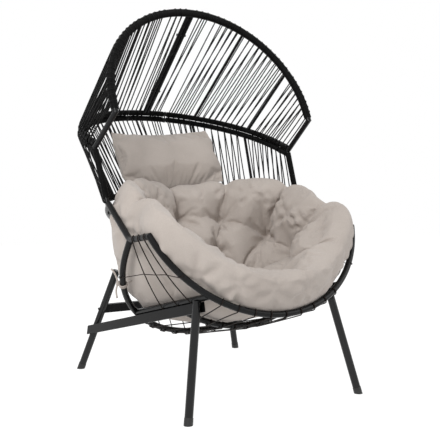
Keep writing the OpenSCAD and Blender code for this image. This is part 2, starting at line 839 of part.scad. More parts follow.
module side_cords() {
    for (k = [0 : 2]) {
        cord_through([side_cord_top(k) + side_out(k) * cord_out, side_cord_mid(k),
            side_cord_foot(k) + side_out(k) * cord_out]);
        band(side_cord_top(k), side_way(side_dir_arm));
        band(side_cord_foot(k), unit(side_rail_front - side_rail_rear));
    }
    rear = bow_point(rear_hoop_bow, cross_cord_rear);
    front = bow_point(front_hoop_bow, cross_cord_front);
    cord_through([beside(rear, bow_dir(rear_hoop_bow, cross_cord_rear), cross_cord_at(0)),
        for (k = [0 : 2]) cross_cord_at(k),
        beside(front, bow_dir(front_hoop_bow, cross_cord_front), cross_cord_at(2))]);
    band(rear, bow_dir(rear_hoop_bow, cross_cord_rear));
    band(front, bow_dir(front_hoop_bow, cross_cord_front));
}

// Legs and beams

beam_bolt_places = [0.13, 0.78];
foot_rise = 6;
cap_wall = 1;
function rail_at(t) = mix(side_rail_rear, side_rail_front, t);
function beam_bolt_high(t) = rail_at(t) - beam_up * (tube_r - tube_wall - 1.9);
function beam_bolt_low(t) = rail_at(t) - beam_up * (tube_r + 2 * fit + beam_h);

// The beam's line as a square bar, shrunk by the wall for its bore
module beam_line(a, b, w, h, extra) {
    way = unit(b - a);
    aside_way = unit(cross(way, [0, 0, 1]));
    up = cross(aside_way, way);
    multmatrix([[way[0], aside_way[0], up[0], a[0]], [way[1], aside_way[1], up[1], a[1]],
        [way[2], aside_way[2], up[2], a[2]], [0, 0, 0, 1]])
        translate([-extra, -w / 2, -h / 2]) cube([norm(b - a) + 2 * extra, w, h]);
}

function leg_plane(way) = unit([0, 1, -way[1]]);

module side_beam() {
    front_normal = leg_plane(front_way);
    rear_normal = leg_plane(rear_way);
    difference() {
        beam_line(beam_rear, beam_front, beam_w, beam_h, 28);
        beam_line(beam_rear, beam_front, beam_w - 2 * beam_wall, beam_h - 2 * beam_wall, 29);
        beyond(beam_front - front_normal * beam_past, -front_normal);
        beyond(beam_rear + rear_normal * beam_past, rear_normal);
        leg_line(front_foot, front_way, leg_r + fit, front_foot[2], leg_reach);
        leg_line(rear_foot, rear_way, leg_r + fit, rear_foot[2], leg_reach);
        rod(side_rail_rear, side_rail_front, tube_r + fit);
        for (t = beam_bolt_places) rod(beam_bolt_low(t), beam_bolt_high(t), bolt_r + fit);
    }
}

leg_reach = 500;
module leg_line(foot, way, r, z0, z1) {
    rod(on_leg(foot, way, z0), on_leg(foot, way, z1), r);
}

front_leg_top = rail_at(0.85)[2] - tube_r + 3;

module front_leg() {
    difference() {
        leg_line(front_foot, front_way, leg_r, foot_rise, front_leg_top);
        leg_line(front_foot, front_way, leg_r - tube_wall, 0, front_leg_top + 9);
        rod(side_rail_rear, side_rail_front, tube_r + fit);
    }
}

module rear_leg() {
    difference() {
        leg_line(rear_foot, rear_way, leg_r, foot_rise, rear_leg_top - plug_head);
        leg_line(rear_foot, rear_way, leg_r - tube_wall, 0, rear_leg_top);
        rod(cross_bolt_out, cross_bolt_in, bolt_r + fit);
    }
}

// Plastic sleeves under the legs and plugs in the tops of the rear legs
module sleeve_bar(foot, way, z0, z1, r) {
    at(on_leg(foot, way, z0), way) rotate([0, 0, 45])
        cylinder(h = norm(way) * (z1 - z0), r = r, $fn = 48);
}

module leg_cap(foot, way) {
    difference() {
        sleeve_bar(foot, way, -9, foot_len, leg_r + cap_wall);
        sleeve_bar(foot, way, foot_rise, 2 * foot_len, leg_r + fit / 2);
        translate([foot[0], foot[1], -50]) cube(100, center = true);
    }
}

plug_head = 3;
plug_stem = 12;
module leg_plug() {
    top = on_leg(rear_foot, rear_way, rear_leg_top - plug_head);
    rod(top, top + unit(rear_way) * plug_head, leg_r);
    rod(top - unit(rear_way) * plug_stem, top + unit(rear_way), leg_r - tube_wall - fit / 2);
}

module cap_set() {
    both_sides() {
        leg_cap(front_foot, front_way);
        leg_cap(rear_foot, rear_way);
        leg_plug();
    }
}

cross_beam_end = on_leg(rear_foot, rear_way, cross_beam_z);
cross_plug = 14;
cross_bolt_out = cross_beam_end + [leg_r + 2.4, 0, 0];
cross_bolt_in = cross_beam_end - [leg_r + cross_plug, 0, 0];

module cross_beam() {
    reach = cross_beam_end[0];
    difference() {
        beam_line(mirrored(cross_beam_end), cross_beam_end, beam_w, beam_h, 0);
        beam_line(mirrored(cross_beam_end) + [leg_r + cross_plug, 0, 0],
            cross_beam_end - [leg_r + cross_plug, 0, 0],
            beam_w - 2 * beam_wall, beam_h - 2 * beam_wall, 0);
        both_sides() {
            leg_line(rear_foot, rear_way, leg_r + fit, 0, rear_leg_top);
            rod(cross_bolt_out, cross_bolt_in - [5, 0, 0], bolt_r + fit);
        }
    }
}

module beam_bolt_set() {
    both_sides() for (t = beam_bolt_places) bolt(beam_bolt_low(t), beam_bolt_high(t));
}

module cross_bolt_set() {
    both_sides() bolt(cross_bolt_out, cross_bolt_in);
}

// Cushions

// The seat cushion is a thick bowl: each point is set by its angle from the bowl's axis and by
// its bearing, 0 at the front and 180 at the back
bowl_centre = [0, -155, 630];
bowl_axis = unit([0, 0.42, -0.906]);
bowl_rear = cross([1, 0, 0], bowl_axis);
bowl_r = 375;
bowl_front_r = 420;
bowl_back_r = 450;
bowl_side_r = 400;
rim_front = 77;
rim_back = 82;
rim_side = 98;
bulge = 46;
bulge_bearing = 116;
bulge_at = 62;
tuft_count = 10;
tuft_turn = 10;
tuft_at = 62;
inner_count = 5;
inner_at = 30;
tuft_spread = 11;
channel_depth = 16;

function sq(x) = x * x;
function bell(x, w) = exp(-sq(x / w) / 2);
function wrap_turn(x) = x - 360 * round(x / 360);
function rim_angle(t) = rim_side * sq(sin(t))
    + sq(cos(t)) * ((rim_front + rim_back) / 2 + (rim_front - rim_back) / 2 * cos(t));
function rim_r(t) = bowl_side_r * sq(sin(t))
    + sq(cos(t)) * ((bowl_front_r + bowl_back_r) / 2 + (bowl_front_r - bowl_back_r) / 2 * cos(t));
function outer_r(t, a) = bowl_r + (rim_r(t) - bowl_r) * pow(sin(min(a, 90)), 6)
    + bulge * bell(a - bulge_at, 15)
        * (bell(wrap_turn(t - bulge_bearing), 21) + bell(wrap_turn(t + bulge_bearing), 21));
function full_at(u) = sqrt(max(0, 1 - pow(u, 5)));

// Depth of the sewn tufts and of the channels that run from them to the rim and to the middle
function ring_dip(t, a, count, turn, at, depth) =
    let (d = wrap_turn((t - turn) * count) / count * sin(a))
        depth * bell(norm([d, a - at]), tuft_spread);
function channel_dip(t, a) =
    let (d = wrap_turn((t - tuft_turn) * tuft_count) / tuft_count * sin(a))
        channel_depth * bell(d, 4.5) * min(1, max(0, (a - inner_at) / 12));
function tuft_dip(t, a) = ring_dip(t, a, tuft_count, tuft_turn, tuft_at, tuft_depth)
    + ring_dip(t, a, inner_count, tuft_turn, inner_at, tuft_depth) + channel_dip(t, a);
function bowl_point(t, a, r) = bowl_centre + r * (bowl_axis * cos(a)
    + sin(a) * ([1, 0, 0] * sin(t) - bowl_rear * cos(t)));

bowl_turns = 50;
inner_rings = 13;
outer_rings = 10;
// Rings from the middle of the upper face out over the rim and back under to the middle
ring_places = concat([for (k = [1 : inner_rings]) [pow(k / (inner_rings + 0.4), 0.85), -1]],
    [[1, 0]], [for (k = [outer_rings : -1 : 1]) [pow(k / (outer_rings + 0.4), 0.8), 1]]);
function ring_point(t, u, face) =
    let (a = u * rim_angle(t), r = outer_r(t, a), h = cushion_t / 2 * full_at(u))
        bowl_point(t, a, r - cushion_t / 2 + face * h
            + (face < 0 ? tuft_dip(t, a) * full_at(u) : 0));

// A closed skin over rings of points that end in a single point at both ends
module skin(rings, first, last) {
    n = len(rings[0]);
    m = len(rings);
    points = concat([first, last], [for (ring = rings) for (p = ring) p]);
    faces = concat(
        [for (k = [0 : n - 1]) [0, 2 + k, 2 + (k + 1) % n]],
        [for (j = [0 : m - 2], k = [0 : n - 1], h = [0, 1]) let (a = 2 + j * n + k,
            b = 2 + j * n + (k + 1) % n) h == 0 ? [a, a + n, b + n] : [a, b + n, b]],
        [for (k = [0 : n - 1]) [1, 2 + (m - 1) * n + (k + 1) % n, 2 + (m - 1) * n + k]]);
    polyhedron(points, faces, convexity = 6);
}

module bowl_cushion() {
    skin([for (p = ring_places) [for (k = [0 : bowl_turns - 1])
            ring_point(k * 360 / bowl_turns, p[0], p[1])]],
        ring_point(0, 0, -1), ring_point(0, 0, 1));
}

// The head pillow leans on the back
pillow_at = [-25, 336, 842];
pillow_bend = 32;
pillow_lean = 30;
pillow_rings = 15;
pillow_turns = 40;
function squash(x, n) = sign(x) * pow(abs(x), n);
function pillow_point(t, v) =
    [pillow_w / 2 * squash(cos(t), 0.5) * pow(sin(v), 0.55),
        -pillow_t / 2 * cos(v) * (1 - 0.25 * sq(sin(2 * t)) * sq(sin(v)))
            - pillow_bend * sq(cos(t)) * pow(sin(v), 1.1),
        pillow_h / 2 * squash(sin(t), 0.5) * pow(sin(v), 0.55)];

module pillow() {
    translate(pillow_at) rotate([-pillow_lean, 0, 0])
        skin([for (j = [1 : pillow_rings]) [for (k = [0 : pillow_turns - 1])
                pillow_point(-k * 360 / pillow_turns, j * 180 / (pillow_rings + 1))]],
            [0, -pillow_t / 2, 0], [0, pillow_t / 2, 0]);
}

// Ties: a turn round the frame with its knot and two tails
tie_r = 2.6;
knot_r = 5;
module tie(p, way, ring_r, tails) {
    out = ring_r + tie_r;
    side = tails[0] - p;
    knot = p + unit(side - (side * way) * way) * (ring_r + knot_r + fit);
    difference() {
        rod(p - way * 4, p + way * 4, out + 0.6);
        rod(p - way * 6, p + way * 6, ring_r + fit);
    }
    translate(knot) sphere(r = knot_r, $fn = 24);
    for (q = tails) rod(knot, q, tie_r, 16);
}

hoop_tie_at = 505;
module tie_set() {
    hoop = mirrored(bow_point(rear_hoop_bow, hoop_tie_at));
    hoop_dir = bow_dir(rear_hoop_bow, hoop_tie_at);
    tie(hoop, [-hoop_dir[0], hoop_dir[1], hoop_dir[2]], tube_r,
        [hoop + [-34, -10, 22], hoop + [-26, -2, -34]]);
}

// The pieces in their places

module hood_arch_left() { color("#26272b") left_side() hood_arch(); }
module hood_arch_right() { color("#26272b") right_side() hood_arch(); }
module hood_side_bar_left() { color("#26272b") left_side() hood_side_bar(); }
module hood_side_bar_right() { color("#26272b") right_side() hood_side_bar(); }
module hood_rail_left() { color("#26272b") left_side() hood_rail(); }
module hood_rail_right() { color("#26272b") right_side() hood_rail(); }
module hood_centre_rib_left() { color("#26272b") left_side() hood_centre_rib(); }
module hood_centre_rib_right() { color("#26272b") right_side() hood_centre_rib(); }
module hood_rib_upper_left() { color("#26272b") left_side() hood_rib(arch_rib_upper, rail_rib_upper); }
module hood_rib_upper_right() { color("#26272b") right_side() hood_rib(arch_rib_upper, rail_rib_upper); }
module hood_rib_lower_left() { color("#26272b") left_side() hood_rib(arch_rib_lower, rail_rib_lower); }
module hood_rib_lower_right() { color("#26272b") right_side() hood_rib(arch_rib_lower, rail_rib_lower); }
module hood_weave_top_left() { color("#1b1a1a") left_side() hood_weave_top(); }
module hood_weave_top_right() { color("#1b1a1a") right_side() hood_weave_top(); }
module hood_weave_middle_left() { color("#1b1a1a") left_side() hood_weave_middle(); }
module hood_weave_middle_right() { color("#1b1a1a") right_side() hood_weave_middle(); }
module hood_weave_side_left() { color("#1b1a1a") left_side() hood_weave_side(); }
module hood_weave_side_right() { color("#1b1a1a") right_side() hood_weave_side(); }
module hood_bolts() { color("#55565a") placed() hood_bolt_set(); }
module back_top_rail() { color("#26272b") placed() top_rail(); }
module back_post_left() { color("#26272b") left_side() back_post(); }
module back_post_right() { color("#26272b") right_side() back_post(); }
module back_bottom_rail() { color("#26272b") placed() bottom_rail(); }
module back_rib_inner_left() { color("#26272b") left_side() back_rib(0); }
module back_rib_inner_right() { color("#26272b") right_side() back_rib(0); }
module back_rib_outer_left() { color("#26272b") left_side() back_rib(1); }
module back_rib_outer_right() { color("#26272b") right_side() back_rib(1); }
module back_weave_inner_left() { color("#1b1a1a") left_side() back_weave_inner(); }
module back_weave_inner_right() { color("#1b1a1a") right_side() back_weave_inner(); }
module back_weave_middle_left() { color("#1b1a1a") left_side() back_weave_middle(); }
module back_weave_middle_right() { color("#1b1a1a") right_side() back_weave_middle(); }
module back_weave_side_left() { color("#1b1a1a") left_side() back_weave_side(); }
module back_weave_side_right() { color("#1b1a1a") right_side() back_weave_side(); }
module back_seat_bolts() { color("#55565a") placed() seat_bolt_set(); }
module seat_back_rail() { color("#26272b") placed() seat_rail_tube(); }
module seat_side_tube_left() { color("#26272b") left_side() seat_side_tube(); }
module seat_side_tube_right() { color("#26272b") right_side() seat_side_tube(); }
module front_hoop() { color("#26272b") placed() front_hoop_tube(); }
module middle_hoop() { color("#26272b") placed() middle_hoop_tube(); }
module rear_hoop() { color("#26272b") placed() rear_hoop_tube(); }
module side_rail_left() { color("#26272b") left_side() side_rail(); }
module side_rail_right() { color("#26272b") right_side() side_rail(); }
module seat_cords_front() { color("#3a2e28") placed() front_cords(); }
module seat_cords_middle() { color("#3a2e28") placed() middle_cords(); }
module seat_cords_rear() { color("#3a2e28") placed() rear_cords(); }
module seat_cords_left() { color("#3a2e28") left_side() side_cords(); }
module seat_cords_right() { color("#3a2e28") right_side() side_cords(); }
module front_leg_left() { color("#26272b") left_side() front_leg(); }
module front_leg_right() { color("#26272b") right_side() front_leg(); }
module rear_leg_left() { color("#26272b") left_side() rear_leg(); }
module rear_leg_right() { color("#26272b") right_side() rear_leg(); }
module side_beam_left() { color("#26272b") left_side() side_beam(); }
module side_beam_right() { color("#26272b") right_side() side_beam(); }
module rear_cross_beam() { color("#26272b") placed() cross_beam(); }
module leg_caps() { color("#55565a") placed() cap_set(); }
module beam_bolts() { color("#55565a") placed() beam_bolt_set(); }
module cross_beam_bolts() { color("#55565a") placed() cross_bolt_set(); }
module seat_cushion() { color("#b9b2aa") placed() bowl_cushion(); }
module head_pillow() { color("#b9b2aa") placed() pillow(); }
module cushion_ties() { color("#b9b2aa") placed() tie_set(); }

hood_arch_left();
hood_arch_right();
hood_side_bar_left();
hood_side_bar_right();
hood_rail_left();
hood_rail_right();
hood_centre_rib_left();
hood_centre_rib_right();
hood_rib_upper_left();
hood_rib_upper_right();
hood_rib_lower_left();
hood_rib_lower_right();
hood_weave_top_left();
hood_weave_top_right();
hood_weave_middle_left();
hood_weave_middle_right();
hood_weave_side_left();
hood_weave_side_right();
hood_bolts();
back_top_rail();
back_post_left();
back_post_right();
back_bottom_rail();
back_rib_inner_left();
back_rib_inner_right();
back_rib_outer_left();
back_rib_outer_right();
back_weave_inner_left();
back_weave_inner_right();
back_weave_middle_left();
back_weave_middle_right();
back_weave_side_left();
back_weave_side_right();
back_seat_bolts();
seat_back_rail();
seat_side_tube_left();
seat_side_tube_right();
front_hoop();
middle_hoop();
rear_hoop();
side_rail_left();
side_rail_right();
seat_cords_front();
seat_cords_middle();
seat_cords_rear();
seat_cords_left();
seat_cords_right();
front_leg_left();
front_leg_right();
rear_leg_left();
rear_leg_right();
side_beam_left();
side_beam_right();
rear_cross_beam();
leg_caps();
beam_bolts();
cross_beam_bolts();
seat_cushion();
head_pillow();
cushion_ties();
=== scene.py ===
# Dresses the lounge armchair: wicker, coated steel, tufted cushions, camera and studio light
import bpy
import math
import random
from mathutils import Vector, Matrix


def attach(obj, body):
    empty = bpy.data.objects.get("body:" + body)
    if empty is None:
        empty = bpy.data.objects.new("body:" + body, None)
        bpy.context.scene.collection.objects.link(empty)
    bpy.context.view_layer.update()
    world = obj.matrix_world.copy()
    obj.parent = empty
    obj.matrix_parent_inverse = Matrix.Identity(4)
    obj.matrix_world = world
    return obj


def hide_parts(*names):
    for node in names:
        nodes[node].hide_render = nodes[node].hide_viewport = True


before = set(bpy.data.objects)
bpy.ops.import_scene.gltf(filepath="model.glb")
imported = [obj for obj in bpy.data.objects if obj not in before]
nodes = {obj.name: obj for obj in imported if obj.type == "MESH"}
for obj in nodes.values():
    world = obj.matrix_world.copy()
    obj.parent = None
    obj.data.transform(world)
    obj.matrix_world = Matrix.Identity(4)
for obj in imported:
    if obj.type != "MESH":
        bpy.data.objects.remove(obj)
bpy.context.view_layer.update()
scene = bpy.context.scene

# Camera, fitted to the tube lines of the photo: angles in radians, focal length in pixels
camera = dict(at=(-1.5135, -2.6064, 0.7838), yaw=0.5452, pitch=-0.057, focal=779.35, pixels=440,
              sensor=36, near=0.05)


def makeCamera():
    data = bpy.data.cameras.new("cam")
    data.sensor_width = camera["sensor"]
    data.lens = camera["focal"] / camera["pixels"] * camera["sensor"]
    data.clip_start = camera["near"]
    cam = bpy.data.objects.new("cam", data)
    scene.collection.objects.link(cam)
    yaw = camera["yaw"]
    pitch = camera["pitch"]
    look = Vector((math.sin(yaw) * math.cos(pitch), math.cos(yaw) * math.cos(pitch), math.sin(pitch)))
    cam.location = camera["at"]
    cam.rotation_euler = look.to_track_quat("-Z", "Y").to_euler()
    scene.camera = cam


makeCamera()
print("camera placed")


def lerp(a, b, t):
    return a + (b - a) * t


def bell(x, w):
    return math.exp(-0.5 * (x / w) ** 2)


def smooth(x):
    x = min(1.0, max(0.0, x))
    return x * x * (3 - 2 * x)


# Materials

def newMaterial(name):
    # an empty material with one shader
    mat = bpy.data.materials.new(name)
    mat.use_nodes = True
    tree = mat.node_tree
    tree.nodes.clear()
    out = tree.nodes.new("ShaderNodeOutputMaterial")
    shader = tree.nodes.new("ShaderNodeBsdfPrincipled")
    tree.links.new(shader.outputs[0], out.inputs[0])
    return mat, tree, shader


def objectCoords(tree):
    return tree.nodes.new("ShaderNodeTexCoord").outputs["Object"]


def addNoise(tree, vector, scale, detail=2.0, rough=0.5):
    node = tree.nodes.new("ShaderNodeTexNoise")
    node.inputs["Scale"].default_value = scale
    node.inputs["Detail"].default_value = detail
    node.inputs["Roughness"].default_value = rough
    tree.links.new(vector, node.inputs["Vector"])
    return node.outputs["Fac"]


def addRamp(tree, value, stops):
    node = tree.nodes.new("ShaderNodeValToRGB")
    ramp = node.color_ramp
    while len(ramp.elements) < len(stops):
        ramp.elements.new(0.5)
    for element, (at, color) in zip(ramp.elements, stops):
        element.position = at
        element.color = (*color, 1)
    tree.links.new(value, node.inputs["Fac"])
    return node.outputs["Color"]


def addMath(tree, op, a, b=None, c=None):
    node = tree.nodes.new("ShaderNodeMath")
    node.operation = op
    for socket, value in zip(node.inputs, (a, b, c)):
        if value is None:
            continue
        if isinstance(value, (int, float)):
            socket.default_value = value
        else:
            tree.links.new(value, socket)
    return node.outputs[0]


def addBump(tree, shader, height, strength, distance, under=None):
    node = tree.nodes.new("ShaderNodeBump")
    node.inputs["Strength"].default_value = strength
    node.inputs["Distance"].default_value = distance
    tree.links.new(height, node.inputs["Height"])
    if under is not None:
        tree.links.new(under, node.inputs["Normal"])
    tree.links.new(node.outputs[0], shader.inputs["Normal"])
    return node.outputs[0]


def grey(v, tint=(1, 1, 1)):
    return tuple(v * t for t in tint)


def varied(tree, value, middle, spread):
    # a number that wanders by the spread about its middle as the noise goes
    return addMath(tree, "MULTIPLY_ADD", value, spread, middle - spread / 2)


# Black coat of the steel, grey from dark to light. Cloud and fine are the scales of its grain.
coats = dict(
    frame=dict(dark=0.004, light=0.008, rough=0.26, shine=0.18),
    leg=dict(dark=0.005, light=0.010, rough=0.17, shine=0.33),
    beam=dict(dark=0.005, light=0.010, rough=0.36, shine=0.11))
coat = dict(tint=(0.95, 0.98, 1.08), cloud=9, fine=900, patchy=0.12, bump=0.12, bumpDeep=0.0004)


def coatedSteel(name, how):
    mat, tree, shader = newMaterial(name)
    at = objectCoords(tree)
    cloud = addNoise(tree, at, coat["cloud"], detail=3)
    color = addRamp(tree, cloud, [(0.3, grey(how["dark"])), (0.75, grey(how["light"], coat["tint"]))])
    tree.links.new(color, shader.inputs["Base Color"])
    fine = addNoise(tree, at, coat["fine"])
    tree.links.new(varied(tree, cloud, how["rough"], coat["patchy"]), shader.inputs["Roughness"])
    shader.inputs["Specular IOR Level"].default_value = how["shine"]
    addBump(tree, shader, fine, coat["bump"], coat["bumpDeep"])
    return mat


# Round plastic cord of the wicker and of the seat
cordPlastic = dict(rough=0.45, patchy=0.2, shine=0.07, cloud=35, streak=420, bump=0.25, bumpDeep=0.0005,
                   wicker=(grey(0.004), grey(0.009)), seat=((0.010, 0.007, 0.006), (0.022, 0.016, 0.014)))


def wickerPlastic(name, dark, light):
    mat, tree, shader = newMaterial(name)
    at = objectCoords(tree)
    cloud = addNoise(tree, at, cordPlastic["cloud"], detail=4, rough=0.6)
    color = addRamp(tree, cloud, [(0.3, dark), (0.7, light)])
    tree.links.new(color, shader.inputs["Base Color"])
    streak = addNoise(tree, at, cordPlastic["streak"], detail=3, rough=0.7)
    rough = varied(tree, streak, cordPlastic["rough"], cordPlastic["patchy"])
    tree.links.new(rough, shader.inputs["Roughness"])
    shader.inputs["Specular IOR Level"].default_value = cordPlastic["shine"]
    addBump(tree, shader, streak, cordPlastic["bump"], cordPlastic["bumpDeep"])
    return mat


# Woven cover of the cushions: thread is the pitch of the weave in metres
cover = dict(dark=(0.40, 0.352, 0.318), light=(0.485, 0.433, 0.394), rough=0.93, shine=0.18, sheen=0.2,
             sheenRough=0.5, cloud=5, cloudPart=0.65, fleck=260, fleckPart=0.35, thread=0.0011, warpPart=0.8,
             weave=0.22, weaveDeep=0.0004, crumple=26, crumpleBump=0.3, crumpleDeep=0.004)


def wovenFabric(name):
    mat, tree, shader = newMaterial(name)
    at = objectCoords(tree)
    cloud = addNoise(tree, at, cover["cloud"], detail=4, rough=0.55)
    fleck = addNoise(tree, at, cover["fleck"], detail=3, rough=0.7)
    mixed = addMath(tree, "MULTIPLY_ADD", fleck, cover["fleckPart"],
                    addMath(tree, "MULTIPLY", cloud, cover["cloudPart"]))
    color = addRamp(tree, mixed, [(0.32, cover["dark"]), (0.62, cover["light"])])
    tree.links.new(color, shader.inputs["Base Color"])
    shader.inputs["Roughness"].default_value = cover["rough"]
    shader.inputs["Specular IOR Level"].default_value = cover["shine"]
    shader.inputs["Sheen Weight"].default_value = cover["sheen"]
    shader.inputs["Sheen Roughness"].default_value = cover["sheenRough"]
    split = tree.nodes.new("ShaderNodeSeparateXYZ")
    tree.links.new(at, split.inputs[0])
    threads = 2 * math.pi / cover["thread"]
    across = addMath(tree, "ADD", split.outputs[0], split.outputs[1])
    warp = addMath(tree, "SINE", addMath(tree, "MULTIPLY", across, threads * cover["warpPart"]))
    weft = addMath(tree, "SINE", addMath(tree, "MULTIPLY", split.outputs[2], threads))
    threadUp = addMath(tree, "MULTIPLY", warp, weft)
    first = addBump(tree, shader, threadUp, cover["weave"], cover["weaveDeep"])
    crumple = addNoise(tree, at, cover["crumple"], detail=4, rough=0.6)
    addBump(tree, shader, crumple, cover["crumpleBump"], cover["crumpleDeep"], first)
    return mat


# Moulded plastic of the leg plugs and foot sleeves
caps = dict(dark=0.006, light=0.012, rough=0.45, patchy=0.2, cloud=20, grain=600, bump=0.15, bumpDeep=0.0003)


def mouldedPlastic(name):
    mat, tree, shader = newMaterial(name)
    at = objectCoords(tree)
    grain = addNoise(tree, at, caps["grain"], detail=3)
    cloud = addNoise(tree, at, caps["cloud"])
    color = addRamp(tree, cloud, [(0.3, grey(caps["dark"])), (0.7, grey(caps["light"]))])
    tree.links.new(color, shader.inputs["Base Color"])
    tree.links.new(varied(tree, grain, caps["rough"], caps["patchy"]), shader.inputs["Roughness"])
    addBump(tree, shader, grain, caps["bump"], caps["bumpDeep"])
    return mat


# Dark steel of the bolts
bolt = dict(dark=0.03, light=0.07, metal=0.8, rough=0.38, grain=500, bump=0.1, bumpDeep=0.0003)


def boltSteel(name):
    mat, tree, shader = newMaterial(name)
    at = objectCoords(tree)
    grain = addNoise(tree, at, bolt["grain"], detail=3)
    color = addRamp(tree, grain, [(0.3, grey(bolt["dark"])), (0.7, grey(bolt["light"]))])
    tree.links.new(color, shader.inputs["Base Color"])
    shader.inputs["Metallic"].default_value = bolt["metal"]
    shader.inputs["Roughness"].default_value = bolt["rough"]
    addBump(tree, shader, grain, bolt["bump"], bolt["bumpDeep"])
    return mat


frameCoat = coatedSteel("frame_coat", coats["frame"])
legCoat = coatedSteel("leg_coat", coats["leg"])
beamCoat = coatedSteel("beam_coat", coats["beam"])
wicker = wickerPlastic("wicker", *cordPlastic["wicker"])
seatCord = wickerPlastic("seat_cord", *cordPlastic["seat"])
capPlastic = mouldedPlastic("cap_plastic")
boltFinish = boltSteel("bolts")
cloth = wovenFabric("cloth")


def dress(obj, mat):
    obj.data.materials.clear()
    obj.data.materials.append(mat)


def dressFrame():
    for name, obj in nodes.items():
        if "weave" in name:
            dress(obj, wicker)
        elif name.startswith("seat_cords"):
            dress(obj, seatCord)
        elif "bolts" in name:
            dress(obj, boltFinish)
        elif name == "leg_caps":
            dress(obj, capPlastic)
        elif "leg" in name:
            dress(obj, legCoat)
        elif "beam" in name:
            dress(obj, beamCoat)
        elif "cushion" in name or "pillow" in name:
            dress(obj, cloth)
        else:
            dress(obj, frameCoat)


dressFrame()
print("frame dressed")


def link(name, mesh, mat, replaced):
    # puts a piece in the scene, in place of nodes of the solids
    obj = bpy.data.objects.new(name, mesh)
    scene.collection.objects.link(obj)
    obj.data.materials.append(mat)
    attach(obj, "root")
    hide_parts(*replaced)
    return obj


def meshFrom(name, verts, faces):
    mesh = bpy.data.meshes.new(name)
    mesh.from_pydata([tuple(v) for v in verts], [], faces)
    mesh.update()
    for face in mesh.polygons:
        face.use_smooth = True
    return mesh


# Tube lines of the frame, in millimetres from the seat frame's rear corner, as depth and height
tubes = dict(
    back=47.89,  # how far the corner lies behind the part's origin
    halfWidth=420, corner=(0, 680), armRear=(-173, 568), armFront=(-322, 590),
    postFoot=(22, 695), topRail=(95, 872.5), archFoot=(-145, 108.5), archHalfWidth=418, archLeg=50,
    archTilt=62.7, railHalfWidth=430, railLeg=77, railTilt=18.8, backRise=315, backTilt=2,
    seatRise=331, seatTilt=-20, hoopRise=308, hoopTilt=-120.9, rearLeg=58, rearTilt=-55.5,
    sideRear=306, sideFront=262, middleAt=0.55, middleDrop=100, middleTilt=-90,
    railR=8, archR=11, tubeR=11, cord=4, railGap=0.4)


def roundBow(w, leg, base, tilt):
    return dict(w=w, r=w, centre=leg, turn=90, base=base, tilt=tilt)


def flatBow(w, rise, base, tilt):
    r = (w * w + rise * rise) / (2 * rise)
    return dict(w=w, r=r, centre=rise - r, turn=math.degrees(math.asin(w / r)), base=base, tilt=tilt)


def arcLength(bow):
    return bow["r"] * math.radians(bow["turn"])


def bowAt(bow, s):
    # place on a bow's line and its heading, at a distance s from the middle
    full = arcLength(bow)
    if abs(s) <= full:
        a = s / bow["r"]
        x, y = bow["r"] * math.sin(a), bow["centre"] + bow["r"] * math.cos(a)
        dx, dy = math.cos(a), -math.sin(a)
    else:
        x = math.copysign(bow["w"], s)
        y = bow["centre"] + bow["r"] * math.cos(math.radians(bow["turn"])) - (abs(s) - full)
        dx, dy = 0.0, -math.copysign(1, s)
    c = math.cos(math.radians(bow["tilt"]))
    n = math.sin(math.radians(bow["tilt"]))
    return Vector((x, bow["base"][0] + y * c, bow["base"][1] + y * n)), Vector((dx, dy * c, dy * n))


def bowNormal(bow):
    return Vector((0, -math.sin(math.radians(bow["tilt"])), math.cos(math.radians(bow["tilt"]))))


def stationAtX(bow, x):
    return bow["r"] * math.asin(x / bow["r"])


def stacked(base, tilt, rise):
    # the end of a bow that lies on another one, as far above it as rise says
    t = math.radians(tilt)
    return (base[0] - rise * math.sin(t), base[1] + rise * math.cos(t))


hoodRailUp = 2 * (tubes["railR"] + tubes["cord"]) + tubes["railGap"]
hoodRailEnd = stacked(tubes["topRail"], tubes["railTilt"], hoodRailUp)
archBase = (hoodRailEnd[0] + tubes["archFoot"][0], hoodRailEnd[1] + tubes["archFoot"][1])
arch = roundBow(tubes["archHalfWidth"], tubes["archLeg"], archBase, tubes["archTilt"])
hoodRail = roundBow(tubes["railHalfWidth"], tubes["railLeg"], hoodRailEnd, tubes["railTilt"])
backTop = roundBow(tubes["railHalfWidth"], tubes["railLeg"], tubes["topRail"], tubes["railTilt"])
backBottom = flatBow(tubes["halfWidth"], tubes["backRise"], tubes["postFoot"], tubes["backTilt"])
seatRail = flatBow(tubes["halfWidth"], tubes["seatRise"], tubes["corner"], tubes["seatTilt"])
frontHoop = flatBow(tubes["halfWidth"], tubes["hoopRise"], tubes["armFront"], tubes["hoopTilt"])
rearHoop = roundBow(tubes["halfWidth"], tubes["rearLeg"], tubes["armRear"], tubes["rearTilt"])
railRear = bowAt(rearHoop, stationAtX(rearHoop, tubes["sideRear"]))[0]
railFront = bowAt(frontHoop, stationAtX(frontHoop, tubes["sideFront"]))[0]
middleEnd = railRear.lerp(railFront, tubes["middleAt"])
middleBase = (middleEnd.y, middleEnd.z)
middleHoop = flatBow(middleEnd.x, tubes["middleDrop"], middleBase, tubes["middleTilt"])
archEnd = arcLength(arch) + tubes["archLeg"]
railEnd = arcLength(hoodRail) + tubes["railLeg"]


def inPart(p, side):
    # millimetres at the corner to metres in the part, on the named side
    return Vector((p.x * side, p.y - tubes["back"], p.z)) * 0.001


